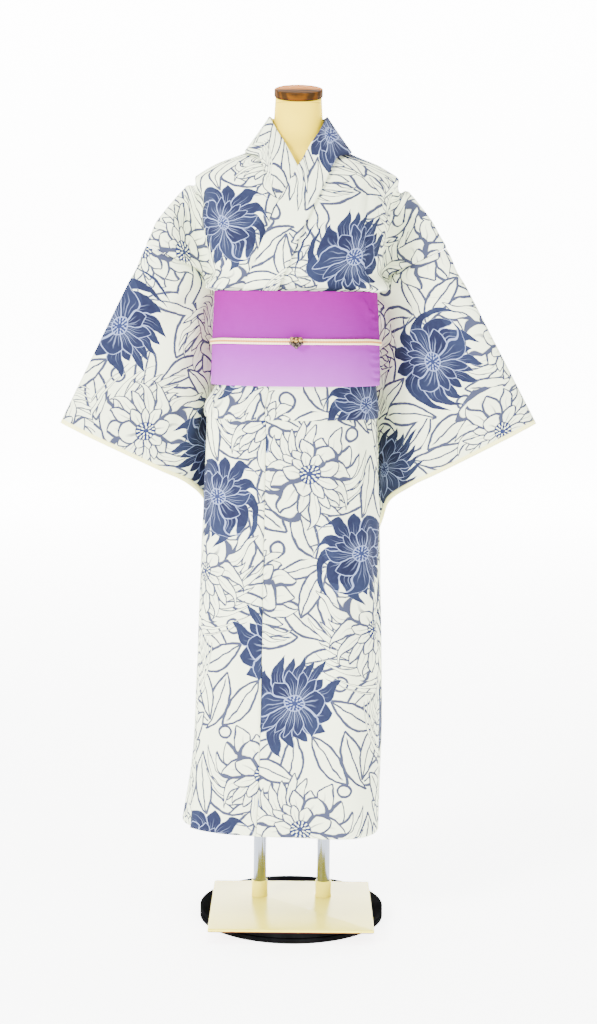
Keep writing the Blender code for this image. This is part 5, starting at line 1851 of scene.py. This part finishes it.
def make_ornament():
    """A cluster of cast beads, brighter above and darker below, on its back plate."""
    front = table(OBI, "front", CORD_HEIGHT) + OBI_WALL / 2.0 + CORD_GAP + CORD_THICKNESS
    back_y = -(front + SEAM + ORNAMENT_BACK[1])
    bright = bmesh.new()
    dark = bmesh.new()
    plate = Matrix.Translation((0.0, back_y, ORNAMENT_HEIGHT)) @ Matrix.Diagonal((*ORNAMENT_BACK, 1.0))
    bmesh.ops.create_uvsphere(dark, u_segments=32, v_segments=16, radius=1.0, matrix=plate)
    for x, z, radius in BEADS[1:]:
        place = Matrix.Translation((x, back_y - radius + BEAD_SUNK, ORNAMENT_HEIGHT + z))
        shape = bright if z > 0.0 else dark
        bmesh.ops.create_uvsphere(shape, u_segments=24, v_segments=14, radius=radius, matrix=place)
        for step in range(BEAD_GRAINS):
            angle = 2.0 * math.pi * step / BEAD_GRAINS
            rim = Vector((math.cos(angle), -GRAIN_FORWARD, math.sin(angle))).normalized() * radius
            grain = place @ Matrix.Translation(rim)
            bmesh.ops.create_icosphere(shape, subdivisions=1, radius=GRAIN_SIZE * radius, matrix=grain)
    # The lower beads and the back plate take the darker copy of the gold finish, the upper beads the
    # brighter one.
    finish_mesh("ornament_lower", dark, "aged_gold", ["cord_ornament"], look="gold_darker_below")
    finish_mesh("ornament_upper", bright, "aged_gold", [])


# The form and its stand.


def finish_mesh(name, shape, slot, nodes, body="figure", look=None):
    bmesh.ops.recalc_face_normals(shape, faces=shape.faces)
    mesh = bpy.data.meshes.new(name)
    shape.to_mesh(mesh)
    shape.free()
    mesh.shade_smooth()
    mesh.set_sharp_from_angle(angle=SHARP_ANGLE)
    item = bpy.data.objects.new(name, mesh)
    bpy.context.scene.collection.objects.link(item)
    settle(item, slot, nodes, body, look)


def mesh_from_rings(name, points, flats, slot, nodes, caps=False):
    """Skin closed rings of points; flat coordinates go in a UV layer."""
    shape = bmesh.new()
    layer = shape.loops.layers.uv.new("cloth")
    lines = [[shape.verts.new(point) for point in ring] for ring in points]
    for row in range(len(lines) - 1):
        for column in range(len(lines[0])):
            after = (column + 1) % len(lines[0])
            corners = ((row, column), (row, after), (row + 1, after), (row + 1, column))
            face = shape.faces.new([lines[r][c] for r, c in corners])
            for loop, (r, c) in zip(face.loops, corners):
                loop[layer].uv = flats[r][c]
    if caps:
        shape.faces.new(lines[0])
        shape.faces.new(lines[-1])
    bmesh.ops.remove_doubles(shape, verts=shape.verts, dist=FINE_WELD)
    finish_mesh(name, shape, slot, nodes)


def make_form():
    """The padded form from its rounded rim at the hips to the tilted top of the neck."""
    heights = [TORSO_BOTTOM + TORSO_RIM * share for share in FORM_RIM_STEPS]
    heights += list(np.linspace(TORSO_BOTTOM + TORSO_RIM, FIGURE[-1][0], FORM_ROWS))
    rows = []
    for height in heights:
        inset = mix(TORSO_INSET, HIP_INSET, smooth((HIP_TOP - height) / (HIP_TOP - HIP_WIDEST)))
        rim = TORSO_RIM * max(1.0 - (height - TORSO_BOTTOM) / TORSO_RIM, 0.0) ** 2
        tilt = math.tan(NECK_TILT) * smooth((height - NECK_TILT_FROM) / (FIGURE[-1][0] - NECK_TILT_FROM))
        resting = smooth((height - RIDGE_LOW) / RIDGE_RUN) * smooth((RIDGE_HIGH - height) / RIDGE_RUN)
        row = []
        for step in range(FORM_SIDES):
            turn = 360.0 * step / FORM_SIDES
            sideways = smooth((abs(math.sin(math.radians(turn))) - RIDGE_FROM) / (1.0 - RIDGE_FROM))
            depth = mix(inset, RIDGE_INSET, sideways * resting) + rim
            point = figure_point(float(height), turn, -depth)
            point.z += tilt * point.y
            row.append(tuple(point))
        rows.append(row)
    points = np.array(rows)
    mesh_from_rings("form_body", points, points[..., :2], "form_cloth", ["form_torso"], caps=True)


def lathe(name, profile, centre, slot, nodes, body="figure", sides=96, tilt=0.0):
    """Turn a profile of (radius, height) points round its upright axis."""
    shape = bmesh.new()
    place = Matrix.Translation(centre) @ Matrix.Rotation(tilt, 4, "X")
    lines = []
    for radius, height in profile:
        if radius < 1e-6:
            lines.append([shape.verts.new(place @ Vector((0.0, 0.0, height)))])
            continue
        ring = []
        for step in range(sides):
            angle = 2.0 * math.pi * step / sides
            point = Vector((radius * math.cos(angle), radius * math.sin(angle), height))
            ring.append(shape.verts.new(place @ point))
        lines.append(ring)
    for first, second in zip(lines, lines[1:]):
        for step in range(sides):
            after = (step + 1) % sides
            corners = [first[step % len(first)], first[after % len(first)],
                       second[after % len(second)], second[step % len(second)]]
            unique = list(dict.fromkeys(corners))
            if len(unique) > 2:
                shape.faces.new(unique)
    finish_mesh(name, shape, slot, nodes, body)


def rounded(radius, low, high, edge):
    """Profile of a disc with rounded edges, from its top centre to its bottom centre."""
    profile = [(0.0, high), (radius - edge, high)]
    for step in range(1, ROUND_STEPS + 1):
        angle = 0.5 * math.pi * step / ROUND_STEPS
        profile.append((radius - edge + edge * math.sin(angle), high - edge + edge * math.cos(angle)))
    for step in range(ROUND_STEPS + 1):
        angle = 0.5 * math.pi * step / ROUND_STEPS
        profile.append((radius - edge + edge * math.cos(angle), low + edge - edge * math.sin(angle)))
    return profile + [(0.0, low)]


def make_cap():
    profile = [(0.0, CAP_THICKNESS + CAP_CROWN)]
    for step in range(1, CAP_RINGS):
        share = step / CAP_RINGS
        profile.append((CAP_RADIUS * share, CAP_THICKNESS + CAP_CROWN * (1.0 - share ** 2)))
    profile += rounded(CAP_RADIUS, 0.0, CAP_THICKNESS, CAP_EDGE * CAP_ROUND)[1:]
    centre = (0.0, -math.sin(NECK_TILT) * SEAM, CAP_HEIGHT + math.cos(NECK_TILT) * SEAM)
    lathe("neck_cap_wood", profile, centre, "lacquered_wood", ["neck_cap"], tilt=NECK_TILT)


def make_stand():
    """Turntable discs, base plate with the pad under it, sockets and tubes."""
    centre = (0.0, DISC_CENTRE_Y, 0.0)
    top = DISC_LOWER + DISC_GAP + DISC_UPPER
    lathe("turntable_lower", rounded(DISC_RADIUS, 0.0, DISC_LOWER, DISC_ROUND), centre,
          "black_plastic", ["turntable_base"], body="turntable", sides=160)
    lathe("turntable_upper", rounded(DISC_RADIUS, DISC_LOWER + DISC_GAP, top, DISC_ROUND), centre,
          "black_plastic", ["turntable_top"], sides=160)
    low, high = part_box("base_plate")
    slab("stand_plate", low + Vector((0.0, 0.0, PAD_RIM)), high, "cream_enamel", ["base_plate"])
    slab("stand_pad", low, Vector((high.x, high.y, low.z + PAD_RIM)), "cream_enamel", [], look="rubber_pad")
    for name in ("left", "right"):
        low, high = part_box(f"leg_socket_{name}")
        foot = (0.5 * (low.x + high.x), 0.5 * (low.y + high.y), low.z)
        bore = LEG_RADIUS + SEAM
        lip = SOCKET_LIP
        profile = [(bore, SOCKET_HEIGHT - lip), (bore + 0.3 * lip, SOCKET_HEIGHT)]
        for step in range(SOCKET_LIP_STEPS + 1):
            angle = 0.5 * math.pi * step / SOCKET_LIP_STEPS
            profile.append((SOCKET_RADIUS - lip + lip * math.sin(angle),
                            SOCKET_HEIGHT - lip + lip * math.cos(angle)))
        flare, flare_height = SOCKET_FOOT
        profile += [(SOCKET_RADIUS, flare_height), (SOCKET_RADIUS + flare, 0.0)]
        profile += [(bore, 0.0), (bore, SOCKET_HEIGHT - lip)]
        lathe(f"socket_{name}", profile, foot, "cream_enamel", [f"leg_socket_{name}"], sides=64)
        low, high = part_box(f"leg_tube_{name}")
        tube = rounded(LEG_RADIUS, 0.0, high.z - low.z, TUBE_ROUND)
        lathe(f"tube_{name}", tube, (foot[0], foot[1], low.z), "chrome", [f"leg_tube_{name}"], sides=64)


def slab(name, low, high, slot, nodes, look=None):
    """A thin plate with rounded corners and edges."""
    shape = bmesh.new()
    bmesh.ops.create_cube(shape, size=1.0)
    size = high - low
    bmesh.ops.scale(shape, vec=size, verts=shape.verts)
    upright = [edge for edge in shape.edges if abs((edge.verts[0].co - edge.verts[1].co).z) > 0.5 * size.z]
    bmesh.ops.bevel(shape, geom=upright, offset=PLATE_CORNER, segments=6, profile=0.5, affect="EDGES")
    flat = [edge for edge in shape.edges if len({round(vertex.co.z, 6) for vertex in edge.verts}) == 1
            and len(edge.link_faces) == 2 and edge.calc_face_angle(0.0) > 1.0]
    edge_round = min(PLATE_EDGE, PLATE_EDGE_SHARE * size.z)
    bmesh.ops.bevel(shape, geom=flat, offset=edge_round, segments=3, profile=0.5, affect="EDGES")
    bmesh.ops.translate(shape, vec=0.5 * (low + high), verts=shape.verts)
    finish_mesh(name, shape, slot, nodes, look=look)


# Room, light and camera.


def make_room():
    """A pale floor that curves up behind, far beyond the stand."""
    shape = bmesh.new()
    rows = [(FLOOR_FRONT, 0.0), (BACKDROP_FROM, 0.0)]
    for step in range(1, BACKDROP_STEPS + 1):
        angle = 0.5 * math.pi * step / BACKDROP_STEPS
        rows.append((BACKDROP_FROM + BACKDROP_CURVE * math.sin(angle),
                     BACKDROP_CURVE - BACKDROP_CURVE * math.cos(angle)))
    rows.append((BACKDROP_FROM + BACKDROP_CURVE, BACKDROP_TOP))
    lines = [[shape.verts.new((x, y, z)) for x in (-FLOOR_HALF_WIDTH, FLOOR_HALF_WIDTH)] for y, z in rows]
    for first, second in zip(lines, lines[1:]):
        shape.faces.new((first[0], first[1], second[1], second[0]))
    mesh = bpy.data.meshes.new("floor")
    shape.to_mesh(mesh)
    shape.free()
    mesh.shade_smooth()
    floor = bpy.data.objects.new("floor", mesh)
    bpy.context.scene.collection.objects.link(floor)
    material, tree, shader = new_material("floor_paper", 0.9)
    cloudy = noise(tree, object_place(tree), 0.8)
    paint(tree, shader, blend(tree, cloudy * 0.1, FLOOR_WHITE, GROUND))
    _, depth, _ = object_place(tree).parts()
    glow = depth.ramp(GLOW_FROM, GLOW_TO) * (FLOOR_GLOW_FAR - FLOOR_GLOW_NEAR) + FLOOR_GLOW_NEAR
    shader.inputs["Emission Color"].default_value = (1.0, 1.0, 1.0, 1.0)
    connect(tree, glow, shader.inputs["Emission Strength"])
    mesh.materials.append(material)


def make_lights():
    world = bpy.data.worlds.new("studio")
    world.use_nodes = True
    background = world.node_tree.nodes["Background"]
    background.inputs["Color"].default_value = (1.0, 1.0, 1.0, 1.0)
    background.inputs["Strength"].default_value = WORLD_LIGHT
    bpy.context.scene.world = world
    for name, place, size, power in STUDIO_LIGHTS[1:]:
        lamp = bpy.data.lights.new(name, "AREA")
        lamp.shape = "SQUARE"
        lamp.size = size
        lamp.energy = power
        item = bpy.data.objects.new(name, lamp)
        item.location = place
        aim = Vector(LIGHT_AIM) - Vector(place)
        item.rotation_euler = aim.to_track_quat("-Z", "Y").to_euler()
        bpy.context.scene.collection.objects.link(item)


def make_camera():
    """The photograph's view: level, at chest height, shifted down to take in the stand."""
    lens = bpy.data.cameras.new("camera")
    lens.sensor_fit = "VERTICAL"
    lens.sensor_height = CAMERA_SENSOR
    lens.lens = CAMERA_SENSOR * CAMERA_FOCAL_PIXELS / FRAME_HEIGHT_PIXELS
    lens.shift_y = CAMERA_SHIFT
    lens.clip_start = 0.05
    camera = bpy.data.objects.new("camera", lens)
    level = Matrix.Rotation(math.radians(90.0), 4, "X")
    camera.matrix_world = Matrix.Translation(CAMERA_PLACE) @ level @ Matrix.Rotation(CAMERA_ROLL, 4, "Z")
    bpy.context.scene.collection.objects.link(camera)
    bpy.context.scene.camera = camera


make_camera()
FINISH = {
    "cotton_print": cotton_material(),
    "obi_cloth": obi_material(),
    "cord_braid": cord_material(),
    "aged_gold": gold_material("aged_gold", GOLD_BRIGHT, GOLD_DULL),
    "gold_darker_below": gold_material("gold_darker_below", LOWER_GOLD_BRIGHT, LOWER_GOLD_DULL),
    "form_cloth": form_material(),
    "lacquered_wood": wood_material(),
    "chrome": chrome_material(),
    "cream_enamel": enamel_material(),
    "rubber_pad": underlay_material(),
    "black_plastic": plastic_material(),
}
make_robe()
make_obi()
make_cord()
make_knot()
make_ornament()
make_form()
make_cap()
make_stand()
make_room()
make_lights()
